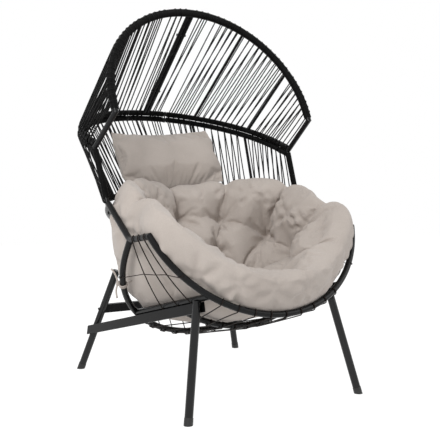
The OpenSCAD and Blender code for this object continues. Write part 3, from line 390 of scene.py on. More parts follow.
class Strands:
    # gathers the skins of many cords for one mesh

    def __init__(self, side=1):
        self.verts = []
        self.faces = []
        self.side = side

    def ring(self, points):
        start = len(self.verts)
        self.verts += [inPart(p, self.side) for p in points]
        return start

    def skin(self, starts, n):
        # faces between rings of n points, closed at both ends
        flip = self.side < 0
        for a, b in zip(starts, starts[1:]):
            for k in range(n):
                m = (k + 1) % n
                face = (a + k, a + m, b + m, b + k)
                self.faces.append(face[::-1] if flip else face)
        first = tuple(starts[0] + k for k in range(n))
        last = tuple(starts[-1] + k for k in range(n))
        self.faces.append(first if flip else first[::-1])
        self.faces.append(last[::-1] if flip else last)

    def cord(self, path, r, n=8):
        # a round cord along a path of points
        starts = []
        guide = None
        for k, p in enumerate(path):
            ahead = path[min(k + 1, len(path) - 1)] - path[max(k - 1, 0)]
            ahead.normalize()
            if guide is None:
                guide = ahead.orthogonal().normalized()
            guide = (guide - ahead * guide.dot(ahead)).normalized()
            other = ahead.cross(guide)
            starts.append(self.ring([p + guide * (r * math.cos(2 * math.pi * i / n))
                                     + other * (r * math.sin(2 * math.pi * i / n)) for i in range(n)]))
        self.skin(starts, n)

    def turns(self, line, s0, s1, tubeR, pitch, cordR, steps=12, n=6):
        # close turns of cord on a tube, where line gives the place, heading and upright at a station
        starts = []
        count = max(2, int((s1 - s0) / pitch * steps))
        for k in range(count + 1):
            s = lerp(s0, s1, k / count)
            place, heading, up = line(s)
            side = heading.cross(up)
            a = 2 * math.pi * (s - s0) / pitch
            out = up * math.cos(a) + side * math.sin(a)
            points = []
            for i in range(n):
                b = 2 * math.pi * (i + 0.5) / n
                points.append(place + out * (tubeR + cordR + cordR * math.cos(b))
                              - heading * (cordR * math.sin(b)))
            starts.append(self.ring(points))
        self.skin(starts, n)


def bowLine(bow):
    up = bowNormal(bow)

    def line(s):
        place, heading = bowAt(bow, s)
        return place, heading, up
    return line


def straightLine(a, b, up):
    heading = (b - a).normalized()
    upright = (up - heading * up.dot(heading)).normalized()

    def line(s):
        return a + heading * s, heading, upright
    return line


# How the strung cords lie, in millimetres: lift off the tube, jitter of the ends, bow of the middle.
# Quarter is how far an end goes round its tube, in radians.
strand = dict(lift=0.9, jitter=0.9, bow=1.3, steps=5, middle=7, thicker=0.45, quarter=1.5, flattest=0.2)


def tuck(place, heading, along, face, radius, quarter=strand["quarter"]):
    # the end of a crossing cord, which goes round the tube; face is the side it leaves by
    slope = along.dot(heading)
    flat = (along - heading * slope).normalized()
    slope /= max(strand["flattest"], math.sqrt(max(0, 1 - slope * slope)))
    points = []
    for k in range(strand["steps"], 0, -1):
        a = quarter * k / strand["steps"]
        slide = slope * radius * (a - a * a / math.pi)
        points.append(place + (face * math.cos(a) - flat * math.sin(a)) * radius - heading * slide)
    return points


def between(skins, endA, endB, out, cordR, sag=0.0, drift=0.0, quarter=strand["quarter"]):
    # one cord between two tubes, each a place, a heading and a radius, on the face that out names
    pA, dA, rA = endA
    pB, dB, rB = endB
    along = (pB - pA).normalized()
    faceA = dA.cross(along).normalized() * out
    faceB = dB.cross(along).normalized() * out
    reachA = rA + cordR + strand["lift"]
    reachB = rB + cordR + strand["lift"]
    a = pA + faceA * reachA
    b = pB + faceB * reachB
    path = tuck(pA, dA, along, faceA, reachA, quarter)
    count = strand["middle"]
    for k in range(count + 1):
        t = k / count
        path.append(a.lerp(b, t) + (faceA * sag + dA * drift) * (4 * t * (1 - t)))
    path += tuck(pB, dB, -along, faceB, reachB, quarter)[::-1]
    skins.cord(path, cordR)


def crossing(skins, rng, bowA, rA, sA, bowB, rB, sB, out, cordR, quarter=strand["quarter"]):
    # one strung cord, a little out of true
    sA += rng.uniform(-1, 1) * strand["jitter"]
    sB += rng.uniform(-1, 1) * strand["jitter"]
    sag = rng.uniform(-1, 1) * strand["bow"]
    drift = rng.uniform(-1, 1) * strand["bow"]
    between(skins, (*bowAt(bowA, sA), rA), (*bowAt(bowB, sB), rB), out, cordR, sag, drift, quarter)


def strung(skins, rng, bowA, rA, spanA, bowB, rB, spanB, cells, first, count, cordR, boltAt):
    # two layers of cords, out over the outer face and back one place further on over the inner one
    clear = weave["boltClear"]
    for k in range(count):
        sA = lerp(*spanA, (first + k) / cells)
        sB = lerp(*spanB, (first + k) / cells)
        further = lerp(*spanA, (first + k + 1) / cells)
        if abs(sA - boltAt) > clear:
            crossing(skins, rng, bowA, rA, sA, bowB, rB, sB, 1, cordR)
        if k < count - 1 and abs(further - boltAt) > clear and abs(sB - boltAt) > clear:
            crossing(skins, rng, bowA, rA, further, bowB, rB, sB, -1, cordR)


# Wicker of the hood and the back: where each sector runs, in millimetres along its tubes. First is
# the place of a sector's first cord, in pitches, for the three sectors from the middle outwards.
weave = dict(cordR=2.0, hoodPitch=24, backPitch=30, archRibs=(240, 478), railRibs=(222, 480),
             backTopRibs=(218, 468), backLowRibs=(174, 365), hoodFirst=(1, 0.5, 1.45),
             backFirst=(0.5, 0.75, 0.45), boltsAt=(90, 690), boltRoom=7.5, boltClear=10, noBolt=5000,
             seatBoltIn=50, bareEnd=11, joint=0.3, postFrom=9, postOver=6, seed=11)


def windings(skins, line, s0, s1, tubeR, boltsAt):
    # the close winding between two stations, parted where a bolt goes through
    start = s0
    for at in sorted(boltsAt):
        if s0 < at < s1:
            skins.turns(line, start, at - weave["boltRoom"], tubeR, 2 * weave["cordR"], weave["cordR"])
            start = at + weave["boltRoom"]
    skins.turns(line, start, s1, tubeR, 2 * weave["cordR"], weave["cordR"])


def hoodSectors():
    # each sector: its span on the upper and the lower tube, pitches, first place, cords and bolt
    upA, lowA = weave["archRibs"]
    upR, lowR = weave["railRibs"]
    inner = round(upA / weave["hoodPitch"])
    middle = round((lowA - upA) / weave["hoodPitch"])
    outer = round((archEnd - lowA) / weave["hoodPitch"])
    first = weave["hoodFirst"]
    near, far = weave["boltsAt"]
    return dict(
        hood_weave_top=((0, upA), (0, upR), inner, first[0], inner - 1, near),
        hood_weave_middle=((upA, lowA), (upR, lowR), middle, first[1], middle, weave["noBolt"]),
        hood_weave_side=((lowA, archEnd), (lowR, railEnd), outer, first[2], outer - 1, far))


def backSectors():
    inTop, outTop = weave["backTopRibs"]
    inLow, outLow = weave["backLowRibs"]
    inner = round(inTop / weave["hoodPitch"])
    middle = round((outTop - inTop) / weave["backPitch"])
    outer = round((railEnd - outTop) / weave["backPitch"])
    lowEnd = arcLength(backBottom)
    first = weave["backFirst"]
    near, far = weave["boltsAt"]
    return dict(
        back_weave_inner=((0, inTop), (0, inLow), inner, first[0], inner, near),
        back_weave_middle=((inTop, outTop), (inLow, outLow), middle, first[1], middle - 1, weave["noBolt"]),
        back_weave_side=((outTop, railEnd), (outLow, lowEnd), outer, first[2], outer - 1, far))


def makeSector(rng, name, sector, side, label, upper, upperR, lower, lowerR, lowerBolts):
    spanA, spanB, cells, first, count, boltAt = sector
    skins = Strands(side)
    joint = weave["joint"]
    gap = weave["bareEnd"] if name.endswith("side") else joint
    r = weave["cordR"]
    windings(skins, bowLine(upper), spanA[0] + joint, spanA[1] - gap, upperR,
             weave["boltsAt"] if upper is backTop else ())
    windings(skins, bowLine(lower), spanB[0] + joint, spanB[1] - gap, lowerR, lowerBolts)
    strung(skins, rng, upper, upperR, spanA, lower, lowerR, spanB, cells, first, count,
           r + strand["thicker"], boltAt)
    if name == "back_weave_side":
        low = Vector((tubes["halfWidth"], *tubes["postFoot"]))
        high = Vector((tubes["railHalfWidth"], *tubes["topRail"]))
        skins.turns(straightLine(low, high, Vector((1, 0, 0))), weave["postFrom"],
                    (high - low).length + weave["postOver"], tubes["railR"], 2 * r, r)
    mesh = meshFrom(name + "_mesh_" + label, skins.verts, skins.faces)
    link("wicker_" + name + "_" + label, mesh, wicker, [name + "_" + label])


def makeWeave():
    rng = random.Random(weave["seed"])
    seatBolt = arcLength(backBottom) - weave["seatBoltIn"]
    for side, label in ((1, "right"), (-1, "left")):
        for name, sector in hoodSectors().items():
            makeSector(rng, name, sector, side, label, arch, tubes["archR"], hoodRail, tubes["railR"],
                       weave["boltsAt"])
        for name, sector in backSectors().items():
            makeSector(rng, name, sector, side, label, backTop, tubes["railR"], backBottom,
                       tubes["railR"], (seatBolt,))


makeWeave()
print("wicker strung")

# Cords under the seat, which fan out towards the front and the rear by the shares in fan and railFan
seatCords = dict(cordR=2.0, pitch=52, width=3.6, fan=1.15, railFan=1.5, aside=8.4, quarter=2.5, seed=5)

# Three upright cords at each side with one across them, by their shares of the arm and of the rail
sideCords = dict(tops=(0.29, 0.59, 0.88), feet=(0.42, 0.62, 0.79), bow=9, crossAt=(0.45, 0.49, 0.515),
                 crossRear=555, crossFront=397, crossR=1.5)


def makeSeatCords():
    rng = random.Random(seatCords["seed"])
    tubeR = tubes["tubeR"]
    count = round(seatCords["width"] * tubes["sideFront"] / 2 / seatCords["pitch"])
    places = [(k - (count - 1) / 2) * seatCords["pitch"] for k in range(count)]
    aside = seatCords["aside"]
    fan = seatCords["fan"]
    sets = dict(
        seat_cords_front=(frontHoop, fan, 0, middleHoop, 1),
        seat_cords_middle=(middleHoop, 1, aside, rearHoop, fan),
        seat_cords_rear=(rearHoop, fan, aside, seatRail, seatCords["railFan"]))
    for name, (bowA, fanA, asideA, bowB, fanB) in sets.items():
        skins = Strands()
        for s in places:
            crossing(skins, rng, bowA, tubeR, s * fanA + asideA, bowB, tubeR, s * fanB, -1,
                     seatCords["cordR"], seatCords["quarter"])
        mesh = meshFrom(name + "_mesh", skins.verts, skins.faces)
        link("cords_" + name, mesh, seatCord, [name])


def outward(way, along):
    # square to a tube and to a cord that leaves it, on the side that looks away from the chair
    n = way.cross(along).normalized()
    return n if n.x > 0 else -n


def makeSideCords(side, label):
    skins = Strands(side)
    r = seatCords["cordR"]
    armRear = Vector((tubes["halfWidth"], *tubes["armRear"]))
    armFront = Vector((tubes["halfWidth"], *tubes["armFront"]))
    armWay = (armFront - armRear).normalized()
    railWay = (railFront - railRear).normalized()
    overs = []
    for top, foot, at in zip(sideCords["tops"], sideCords["feet"], sideCords["crossAt"]):
        a = armRear.lerp(armFront, top)
        b = railRear.lerp(railFront, foot)
        between(skins, (a, armWay, tubes["tubeR"]), (b, railWay, tubes["tubeR"]), 1, r, sideCords["bow"])
        out = armWay.cross(b - a).normalized()
        reach = tubes["tubeR"] + r + strand["lift"] + sideCords["bow"] * 4 * at * (1 - at)
        overs.append(a.lerp(b, at) + out * (reach + r + sideCords["crossR"]))
    rear, rearWay = bowAt(rearHoop, sideCords["crossRear"])
    front, frontWay = bowAt(frontHoop, sideCords["crossFront"])
    reach = tubes["tubeR"] + sideCords["crossR"] + strand["lift"]
    rearFace = outward(rearWay, overs[0] - rear)
    frontFace = outward(frontWay, overs[-1] - front)
    path = tuck(rear, rearWay, (overs[0] - rear).normalized(), rearFace, reach)
    path.append(rear + rearFace * reach)
    path += overs
    path.append(front + frontFace * reach)
    path += tuck(front, frontWay, (overs[-1] - front).normalized(), frontFace, reach)[::-1]
    skins.cord(path, sideCords["crossR"])
    name = "seat_cords_" + label
    link("cords_" + name, meshFrom(name + "_mesh", skins.verts, skins.faces), seatCord, [name])


makeSeatCords()
makeSideCords(1, "right")
makeSideCords(-1, "left")
print("seat cords made")

# The cushion's tie, knotted round the rear hoop on the left. A free end is given by how far it
# reaches and by how it bends aside, in millimetres.
tie = dict(at=512, r=2.2, coil=6.5, knot=(-18, 4, 6), knotR=(8, 7, 9), turnsDeep=0.14, around=14,
           tailR=3.3, tails=(((-20, 12, 51), (3, 0, 4)), ((-3, 2, -52), (-5, 0, 3))),
           padFrom=(6, -12, 4), padTo=(34, -6, 12), padBend=(0, -3, 2))


def swung(a, b, sag, n=9):
    # a short free end, which bends as it goes
    side = Vector(sag)
    return [a.lerp(b, k / n) + side * (math.sin(math.pi * k / n)) for k in range(n + 1)]


def knotPoint(a, b):
    # the knot is a small lump with three turns of the cord in it
    x, y, z = tie["knotR"]
    out = Vector((x * math.sin(b) * math.cos(a), y * math.sin(b) * math.sin(a), z * math.cos(b)))
    return out * (1 + tie["turnsDeep"] * math.sin(3 * a + 2 * b))


def makeTie():
    skins = Strands()
    place, heading = bowAt(rearHoop, tie["at"])
    place.x *= -1
    heading = Vector((-heading.x, heading.y, heading.z))
    up = heading.orthogonal().normalized()
    knot = place + Vector(tie["knot"])

    def line(s):
        return place + heading * s, heading, up
    coil = tie["coil"]
    skins.turns(line, -coil, coil, tubes["tubeR"], 2 * tie["r"], tie["r"], steps=20, n=8)
    for reach, bend in tie["tails"]:
        skins.cord(swung(knot, knot + Vector(reach), bend), tie["tailR"])
    front = place + Vector(tie["padFrom"])
    skins.cord(swung(front, place + Vector(tie["padTo"]), tie["padBend"]), tie["r"])
    around = tie["around"]
    count = around // 2
    rows = []
    for j in range(1, count + 1):
        b = math.pi * j / (count + 1)
        rows.append(skins.ring([knot + knotPoint(2 * math.pi * k / around, b) for k in range(around)]))
    skins.skin(rows, around)
    link("tie_tape", meshFrom("cushion_ties_mesh", skins.verts, skins.faces), cloth, ["cushion_ties"])


makeTie()
print("tie made")

# Padded pieces: a skin of even cells, filled by a cloth simulation that the seams hold down
filling = dict(voxel=0.006, frames=18, quality=5, mass=0.25, pressure=4.0, grow=0.08, tension=10,
               bending=0.3)


def applied(obj):
    # the mesh with its modifiers worked in
    mesh = bpy.data.meshes.new_from_object(obj.evaluated_get(bpy.context.evaluated_depsgraph_get()))
    old = obj.data
    obj.modifiers.clear()
    obj.data = mesh
    bpy.data.meshes.remove(old)


def evenSkin(obj, size):
    mod = obj.modifiers.new("skin", "REMESH")
    mod.mode = "VOXEL"
    mod.voxel_size = size
    mod.use_smooth_shade = True
    applied(obj)


def fill(obj, pinned, allowed, how):
    # pinned gives a point's hold from 0 to 1, allowed where it may end, from its start and its end
    group = obj.vertex_groups.new(name="seams")
    start = [v.co.copy() for v in obj.data.vertices]
    for k, p in enumerate(start):
        hold = pinned(p)
        if hold > 0:
            group.add([k], hold, "REPLACE")
    mod = obj.modifiers.new("fill", "CLOTH")
    rules = mod.settings
    rules.quality = how["quality"]
    rules.mass = how["mass"]
    rules.tension_stiffness = how["tension"]
    rules.compression_stiffness = how["tension"]
    rules.shear_stiffness = how["tension"] / 2
    rules.bending_stiffness = how["bending"]
    rules.use_pressure = True
    rules.uniform_pressure_force = how["pressure"]
    rules.shrink_min = -how["grow"]
    rules.vertex_group_mass = "seams"
    rules.effector_weights.gravity = 0
    mod.collision_settings.use_collision = False
    mod.point_cache.frame_start = 1
    mod.point_cache.frame_end = how["frames"]
    for k in range(1, how["frames"] + 1):
        scene.frame_set(k)
    done = obj.evaluated_get(bpy.context.evaluated_depsgraph_get()).to_mesh()
    ends = [v.co.copy() for v in done.vertices]
    obj.modifiers.clear()
    obj.vertex_groups.clear()
    scene.frame_set(1)
    for v, a, b in zip(obj.data.vertices, start, ends):
        v.co = allowed(a, b)
    obj.data.update()


def rounded(obj):
    mod = obj.modifiers.new("round", "SUBSURF")
    mod.levels = 1
    mod.render_levels = 1
    applied(obj)
    for face in obj.data.polygons:
        face.use_smooth = True


# Seat cushion: a thick bowl. A place on it has a bearing, 0 at the front and 180 at the back, and an
# angle from the bowl's axis, both in degrees like every width and place here. Depths are in metres.
bowl = dict(
    centre=Vector((0, -0.155 - tubes["back"] / 1000, 0.630)), axis=Vector((0, 0.42, -0.906)).normalized(),
    bottom=0.375, rim=0.447, thick=0.130, roundness=5, most=0.030, mostUnder=0.002, lumpy=0.004, seed=8,
    turns=260, ringsIn=90, ringsOut=60, crowdIn=0.85, crowdOut=0.8, lastGap=0.4,
    # where the back part starts, behind the arms, and how much thicker the front roll is
    back=dict(at=60, fade=35),
    roll=dict(thicker=0.022, at=80, fade=35),
    # the rim's angle from the axis, which rises at the arms and drops at the tufts and under the pillow
    edge=dict(front=91, back=86, side=103, arm=4, armWide=14, notch=4.5, notchWide=5, pillow=2.5,
              pillowAt=182, pillowWide=17),
    # the outer face goes out at the arms' fronts and in along the arms' tubes
    arm=dict(out=0.026, at=66, inward=0.028, inwardAt=89, wide=12),
    # from where on it grows to the rim, along the front hoop and behind it
    hoop=dict(front=72, arm=94, armAt=85, steep=1.15, fade=20, backAt=68, backFade=30, backPower=6),
    swell=dict(out=0.084, bearing=99, at=47, wide=19, tall=17),
    dent=dict(deep=0.012, bearing=87.5, wide=5, at=48, fade=8),
    sag=dict(deep=0.056, behind=0.5, at=44, fade=16),
    # two rings of tufts, and the ring that the rim's pleats start from
    tufts=10, turn=10, tuftAt=62, inner=5, innerAt=36, pleatAt=84, hold=1.9,
    # creases that run out from a tuft, each a groove with a low lip beside it
    crease=dict(count=6, astray=0.3, long=(8, 17), deep=(0.011, 0.021), rise=2.5, fall=1.6, wide=0.9,
                widen=0.09, lip=0.35, lipAt=2.6, lipOut=0.15, lipWide=1.8),
    # the cover's dips: at the tufts, on the under face, in the valleys from the tufts to the rim,
    # along the ring of tufts, and in the spokes towards the middle
    quilt=dict(tuft=0.062, tuftWide=6.5, inner=0.05, innerWide=7.5, under=0.020, underWide=5,
               underInnerWide=6, valleyFront=0.008, valleyBack=0.034, valleyWide=3.2, valleyFrom=4,
               ringFront=0.030, ringBack=0.016, ringWide=5, spoke=0.018, spokeWide=3, spokeTo=2,
               spokeFrom=20, spokeRise=10, fade=8, pleatFrom=66, pleatFade=12))
bowlRear = Vector((1, 0, 0)).cross(bowl["axis"])


def turnOf(x):
    # degrees from -180 to 180
    return x - 360 * round(x / 360)


def backPart(t):
    # 0 along the front roll, 1 behind the arms
    back = bowl["back"]
    return smooth((abs(turnOf(t)) - back["at"]) / back["fade"])


def rimAngle(t):
    edge = bowl["edge"]
    s = math.sin(math.radians(t))
    c = math.cos(math.radians(t))
    ends = (edge["front"] + edge["back"]) / 2 + (edge["front"] - edge["back"]) / 2 * c
    across = abs(turnOf((t - bowl["turn"]) * bowl["tufts"]) / bowl["tufts"])
    notch = edge["notch"] * math.exp(-across / edge["notchWide"]) * backPart(t)
    lift = edge["arm"] * bell(abs(turnOf(t)) - bowl["arm"]["at"], edge["armWide"])
    lift -= edge["pillow"] * bell(turnOf(t - edge["pillowAt"]), edge["pillowWide"])
    return edge["side"] * s * s + c * c * ends - notch + lift


def outerR(t, a):
    # distance of the outer face, which follows the front hoop and the arms
    arm, hoop, swell, dent, sag = (bowl[part] for part in ("arm", "hoop", "swell", "dent", "sag"))
    t = turnOf(t)
    rim = bowl["rim"] + arm["out"] * bell(abs(t) - arm["at"], arm["wide"])
    rim -= arm["inward"] * bell(abs(t) - arm["inwardAt"], arm["wide"])
    hoopAt = lerp(hoop["front"], hoop["arm"], smooth(abs(t) / hoop["armAt"]) * hoop["steep"])
    near = smooth((a - hoopAt + hoop["fade"]) / hoop["fade"])
    far = math.sin(math.radians(min(a, 90))) ** hoop["backPower"]
    grow = lerp(near, far, smooth((abs(t) - hoop["backAt"]) / hoop["backFade"]))
    bulge = bell(abs(t) - swell["bearing"], swell["wide"]) * bell(a - swell["at"], swell["tall"])
    # the rear hoop's tube presses into the swell
    pressed = dent["deep"] * bell(abs(t) - dent["bearing"], dent["wide"])
    pressed *= smooth((a - dent["at"]) / dent["fade"])
    # behind the middle hoop the filling sags on the cords
    back = -math.sin(math.radians(a)) * math.cos(math.radians(t))
    sunk = sag["deep"] * smooth((back + sag["behind"]) / sag["behind"])
    sunk *= smooth((sag["at"] - a) / sag["fade"])
    return bowl["bottom"] + (rim - bowl["bottom"]) * grow + swell["out"] * bulge - pressed + sunk


def thickAt(t):
    roll = bowl["roll"]
    return bowl["thick"] + roll["thicker"] * smooth((roll["at"] - abs(turnOf(t))) / roll["fade"])


def bowlPoint(t, a, r):
    a = math.radians(a)
    t = math.radians(t)
    out = Vector((1, 0, 0)) * math.sin(t) - bowlRear * math.cos(t)
    return bowl["centre"] + r * (bowl["axis"] * math.cos(a) + out * math.sin(a))


def ringDistance(t, a, count, turn, at):
    d = turnOf((t - turn) * count) / count * math.sin(math.radians(a))
    return math.hypot(d, a - at), abs(d)


tuftRings = (
    (bowl["tufts"], bowl["tuftAt"]),
    (bowl["inner"], bowl["innerAt"]),
    (bowl["tufts"] * 2, bowl["pleatAt"]))


def makeRays():
    # the bearing, length and depth of the creases about each tuft
    crease = bowl["crease"]
    astray = crease["astray"]
    rng = random.Random(bowl["seed"])
    rays = {}
    for ring, (count, _) in enumerate(tuftRings):
        for k in range(count):
            start = rng.uniform(0, 360)
            rays[(ring, k)] = []
            for j in range(crease["count"]):
                way = math.radians(start + 360 * (j + rng.uniform(-astray, astray)) / crease["count"])
                rays[(ring, k)].append((way, rng.uniform(*crease["long"]), rng.uniform(*crease["deep"])))
    return rays


rays = makeRays()


def rayDip(t, a):
    crease = bowl["crease"]
    total = 0.0
    for ring, (count, at) in enumerate(tuftRings):
        k = round((t - bowl["turn"]) * count / 360)
        x = turnOf((t - bowl["turn"]) - 360 * k / count) * math.sin(math.radians(a))
        y = a - at
        for way, long, deep in rays[(ring, k % count)]:
            along = x * math.cos(way) + y * math.sin(way)
            if 0 < along < long:
                off = abs(x * math.sin(way) - y * math.cos(way))
                fade = smooth(along / crease["rise"]) * smooth((1 - along / long) * crease["fall"])
                groove = math.exp(-(off / (crease["wide"] + crease["widen"] * along)) ** 2)
                beside = (off - crease["lipAt"] - crease["lipOut"] * along) / crease["lipWide"]
                total += deep * fade * (groove - crease["lip"] * math.exp(-beside ** 2))
    return total


def lumps(t, a):
    # slow unevenness of the filling, from three waves over the bowl
    u = math.radians(t)
    v = math.radians(a)
    waves = math.sin(7 * u + 5 * v) + math.sin(3 * u - 8 * v + 1) + math.sin(11 * u + 2 * v + 2)
    return bowl["lumpy"] * waves


def pit(deep, far, wide):
    return deep * math.exp(-far / wide)


def cushionDip(t, a, face):
    quilt = bowl["quilt"]
    near, across = ringDistance(t, a, bowl["tufts"], bowl["turn"], bowl["tuftAt"])
    mid, _ = ringDistance(t, a, bowl["inner"], bowl["turn"], bowl["innerAt"])
    if face > 0:
        pleats = rayDip(t, a) * smooth((a - quilt["pleatFrom"]) / quilt["pleatFade"])
        pits = pit(quilt["under"], near, quilt["underWide"])
        pits += pit(quilt["under"], mid, quilt["underInnerWide"])
        return -pits - pleats
    back = backPart(t)
    dip = pit(quilt["tuft"], near, quilt["tuftWide"]) + pit(quilt["inner"], mid, quilt["innerWide"])
    valley = lerp(quilt["valleyFront"], quilt["valleyBack"], back)
    dip += pit(valley, across, quilt["valleyWide"]) * smooth(
        (a - bowl["tuftAt"] + quilt["valleyFrom"]) / quilt["fade"])
    ringDeep = lerp(quilt["ringFront"], quilt["ringBack"], back)
    dip += pit(ringDeep, abs(a - bowl["tuftAt"]), quilt["ringWide"])
    spoke = pit(quilt["spoke"], across, quilt["spokeWide"])
    spoke *= smooth((bowl["tuftAt"] + quilt["spokeTo"] - a) / quilt["fade"])
    spoke *= smooth((a - quilt["spokeFrom"]) / quilt["spokeRise"])
    return dip + spoke + rayDip(t, a) + lumps(t, a)


def lathed(name, rings, first, last):
    # a closed skin over rings of points, which ends in one point at each end
    n = len(rings[0])
    verts = [first] + [p for ring in rings for p in ring] + [last]
    faces = [(0, 1 + k, 1 + (k + 1) % n) for k in range(n)]
    for j in range(len(rings) - 1):
        for k in range(n):
            a = 1 + j * n + k
            b = 1 + j * n + (k + 1) % n
            faces.append((a, a + n, b + n, b))
    end = 1 + (len(rings) - 1) * n
    faces += [(len(verts) - 1, end + (k + 1) % n, end + k) for k in range(n)]
    return meshFrom(name, verts, faces)


def makeBowlMesh():
    # rings from the middle of the inner face to the rim and back to the middle of the outer face
    turns, ringsIn, ringsOut = bowl["turns"], bowl["ringsIn"], bowl["ringsOut"]
    gap = bowl["lastGap"]
    places = [((k / (ringsIn + gap)) ** bowl["crowdIn"], -1) for k in range(1, ringsIn + 1)]
    places += [(1, 0)]
    places += [((k / (ringsOut + gap)) ** bowl["crowdOut"], 1) for k in range(ringsOut, 0, -1)]

    def at(t, u, face):
        half = lerp(bowl["thick"], thickAt(t), smooth(u)) / 2
        a = u * rimAngle(t)
        full = math.sqrt(max(0, 1 - u ** bowl["roundness"]))
        dip = cushionDip(t, a, face) * full if face else 0
        return bowlPoint(t, a, outerR(t, a) - half + face * half * full + dip)

    rings = [[at(k * 360 / turns, u, face) for k in range(turns)] for u, face in places]
    return lathed("seat_cushion_mesh", rings, at(0, 0, -1), at(0, 0, 1))


def bowlCoords(p):
    # bearing, angle from the axis and distance of a point
    d = p - bowl["centre"]
    r = d.length
    a = math.degrees(math.acos(max(-1, min(1, d.dot(bowl["axis"]) / r))))
    return math.degrees(math.atan2(d.x, -d.dot(bowlRear))), a, r


def bowlHold(p):
    t, a, _ = bowlCoords(p)
    near, _ = ringDistance(t, a, bowl["tufts"], bowl["turn"], bowl["tuftAt"])
    mid, _ = ringDistance(t, a, bowl["inner"], bowl["turn"], bowl["innerAt"])
    return 1.0 if min(near, mid) < bowl["hold"] else 0


def bowlTravel(start, end):
    # the outer face lies against the frame, so it moves less the nearer it is to it
    t, a, r = bowlCoords(start)
    move = end - start
    if move.length > bowl["most"]:
        move *= bowl["most"] / move.length
    out = (start - bowl["centre"]).normalized()
    room = lerp(bowl["mostUnder"], bowl["most"], smooth((outerR(t, a) - r) / bowl["thick"]))
    over = move.dot(out) - room
    if over > 0:
        move -= out * over
    return start + move


def makeSeatCushion():
    obj = link("seat_pad", makeBowlMesh(), cloth, ["seat_cushion"])
    evenSkin(obj, filling["voxel"])
    fill(obj, bowlHold, bowlTravel, filling)
    rounded(obj)


makeSeatCushion()
print("seat cushion made")

# Head pillow: two faces joined at a seam with pointed corners. Angles are in degrees, lengths in
# metres, and crown says how the faces round off towards the ends, the long sides and the seam.
pillow = dict(at=Vector((-0.025, 0.336 - tubes["back"] / 1000, 0.842)), lean=30, roll=-3, w=0.45, h=0.255,
              t=0.115, bend=0.034, waist=-0.012, crown=(2.8, 2.4, 0.6), most=0.018, cells=(84, 46))


def makePillowMesh():
    nx, ny = pillow["cells"]
    ends, sides, seamward = pillow["crown"]
    turn = Matrix.Rotation(math.radians(-pillow["lean"]), 4, "X") @ Matrix.Rotation(
        math.radians(pillow["roll"]), 4, "Y")

    def at(i, k, face):
        u = 2 * i / nx - 1
        v = 2 * k / ny - 1
        x = pillow["w"] / 2 * u * (1 - pillow["waist"] * (1 - v * v))
        z = pillow["h"] / 2 * v * (1 - pillow["waist"] * 2 * (1 - u * u))
        deep = pillow["t"] / 2 * ((1 - abs(u) ** ends) * (1 - abs(v) ** sides)) ** seamward
        y = -face * deep - pillow["bend"] * u * u
        return pillow["at"] + turn @ Vector((x, y, z))
    verts = []
    index = {}
    for face in (1, -1):
        for i in range(nx + 1):
            for k in range(ny + 1):
                edge = i in (0, nx) or k in (0, ny)
                if edge and face < 0:
                    index[(i, k, face)] = index[(i, k, 1)]
                    continue
                index[(i, k, face)] = len(verts)
                verts.append(at(i, k, face))
    faces = []
    for face in (1, -1):
        for i in range(nx):
            for k in range(ny):
                quad = [index[(i, k, face)], index[(i + 1, k, face)], index[(i + 1, k + 1, face)],
                        index[(i, k + 1, face)]]
                faces.append(tuple(quad if face > 0 else quad[::-1]))
    seam = {index[(i, k, 1)] for i in range(nx + 1) for k in range(ny + 1)
            if i in (0, nx) or k in (0, ny)}
    return meshFrom("pillow_mesh", verts, faces), seam


def pillowTravel(start, end):
    move = end - start
    if move.length > pillow["most"]:
        move *= pillow["most"] / move.length
    return start + move


def makePillow():
    mesh, seam = makePillowMesh()
    obj = link("head_pad", mesh, cloth, ["head_pillow"])
    edge = [obj.data.vertices[k].co.copy() for k in seam]
    held = {tuple(round(x, 5) for x in p) for p in edge}
    fill(obj, lambda p: 1.0 if tuple(round(x, 5) for x in p) in held else 0, pillowTravel, filling)
    rounded(obj)


makePillow()
print("pillow made")


# Studio: wash is how much of the glow covers the floor's own shade, world the light from all round
studio = dict(
    glow=1.24, wash=0.72, world=0.6, floor=6, paint=(0.86, 0.9), paintRough=0.8, patches=3,
    lamps=dict(
        key=dict(at=(-2.6, -1.8, 3.2), to=(0, 0, 0.6), size=(1.2, 1.2), power=92),
        fill=dict(at=(2.6, -2.2, 2.0), to=(0, 0, 0.7), size=(2.2, 2.2), power=24),
        rim=dict(at=(0.6, 2.8, 2.6), to=(0, 0, 0.9), size=(2.0, 1.2), power=30)))


def seenRays(tree):
    # 1 for a ray that comes from the camera, or from a shiny or clear surface
    path = tree.nodes.new("ShaderNodeLightPath")
    seen = addMath(tree, "MAXIMUM", path.outputs["Is Camera Ray"], path.outputs["Is Transmission Ray"])
    return addMath(tree, "MAXIMUM", seen, path.outputs["Is Glossy Ray"])


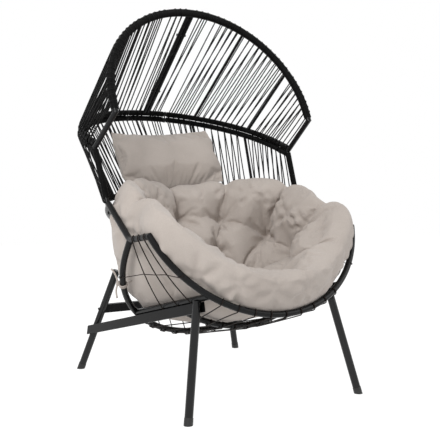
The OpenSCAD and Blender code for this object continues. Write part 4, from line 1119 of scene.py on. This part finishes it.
def makeFloor():
    far = studio["floor"]
    corners = [(-far, -far, 0), (far, -far, 0), (far, far, 0), (-far, far, 0)]
    mesh = meshFrom("floor_mesh", corners, [(0, 1, 2, 3)])
    floor = bpy.data.objects.new("floor", mesh)
    scene.collection.objects.link(floor)
    mat, tree, shader = newMaterial("floor_paint")
    at = objectCoords(tree)
    dull, clean = studio["paint"]
    patchy = addNoise(tree, at, studio["patches"])
    color = addRamp(tree, patchy, [(0.3, grey(dull)), (0.7, grey(clean))])
    tree.links.new(color, shader.inputs["Base Color"])
    shader.inputs["Roughness"].default_value = studio["paintRough"]
    # the floor looks white from the camera, with the chair's soft shadow still on it
    glow = tree.nodes.new("ShaderNodeEmission")
    glow.inputs["Color"].default_value = (1, 1, 1, 1)
    glow.inputs["Strength"].default_value = studio["glow"]
    mix = tree.nodes.new("ShaderNodeMixShader")
    tree.links.new(addMath(tree, "MULTIPLY", seenRays(tree), studio["wash"]), mix.inputs[0])
    tree.links.new(shader.outputs[0], mix.inputs[1])
    tree.links.new(glow.outputs[0], mix.inputs[2])
    tree.links.new(mix.outputs[0], tree.nodes["Material Output"].inputs[0])
    floor.data.materials.append(mat)


def makeLamp(name, how):
    data = bpy.data.lights.new(name, "AREA")
    data.shape = "RECTANGLE"
    data.size, data.size_y = how["size"]
    data.energy = how["power"]
    obj = bpy.data.objects.new(name, data)
    obj.location = how["at"]
    obj.rotation_euler = (Vector(how["to"]) - Vector(how["at"])).to_track_quat("-Z", "Y").to_euler()
    scene.collection.objects.link(obj)


def makeWorld():
    world = bpy.data.worlds.new("studio")
    scene.world = world
    world.use_nodes = True
    tree = world.node_tree
    tree.nodes.clear()
    out = tree.nodes.new("ShaderNodeOutputWorld")
    back = tree.nodes.new("ShaderNodeBackground")
    lit = tree.nodes.new("ShaderNodeBackground")
    mix = tree.nodes.new("ShaderNodeMixShader")
    back.inputs["Color"].default_value = (1, 1, 1, 1)
    back.inputs["Strength"].default_value = 1.0
    lit.inputs["Color"].default_value = (1, 1, 1, 1)
    lit.inputs["Strength"].default_value = studio["world"]
    tree.links.new(seenRays(tree), mix.inputs[0])
    tree.links.new(lit.outputs[0], mix.inputs[1])
    tree.links.new(back.outputs[0], mix.inputs[2])
    tree.links.new(mix.outputs[0], out.inputs[0])


makeFloor()
makeWorld()
for lampName, lamp in studio["lamps"].items():
    makeLamp(lampName, lamp)
scene.view_settings.view_transform = "Standard"
print("studio lit")
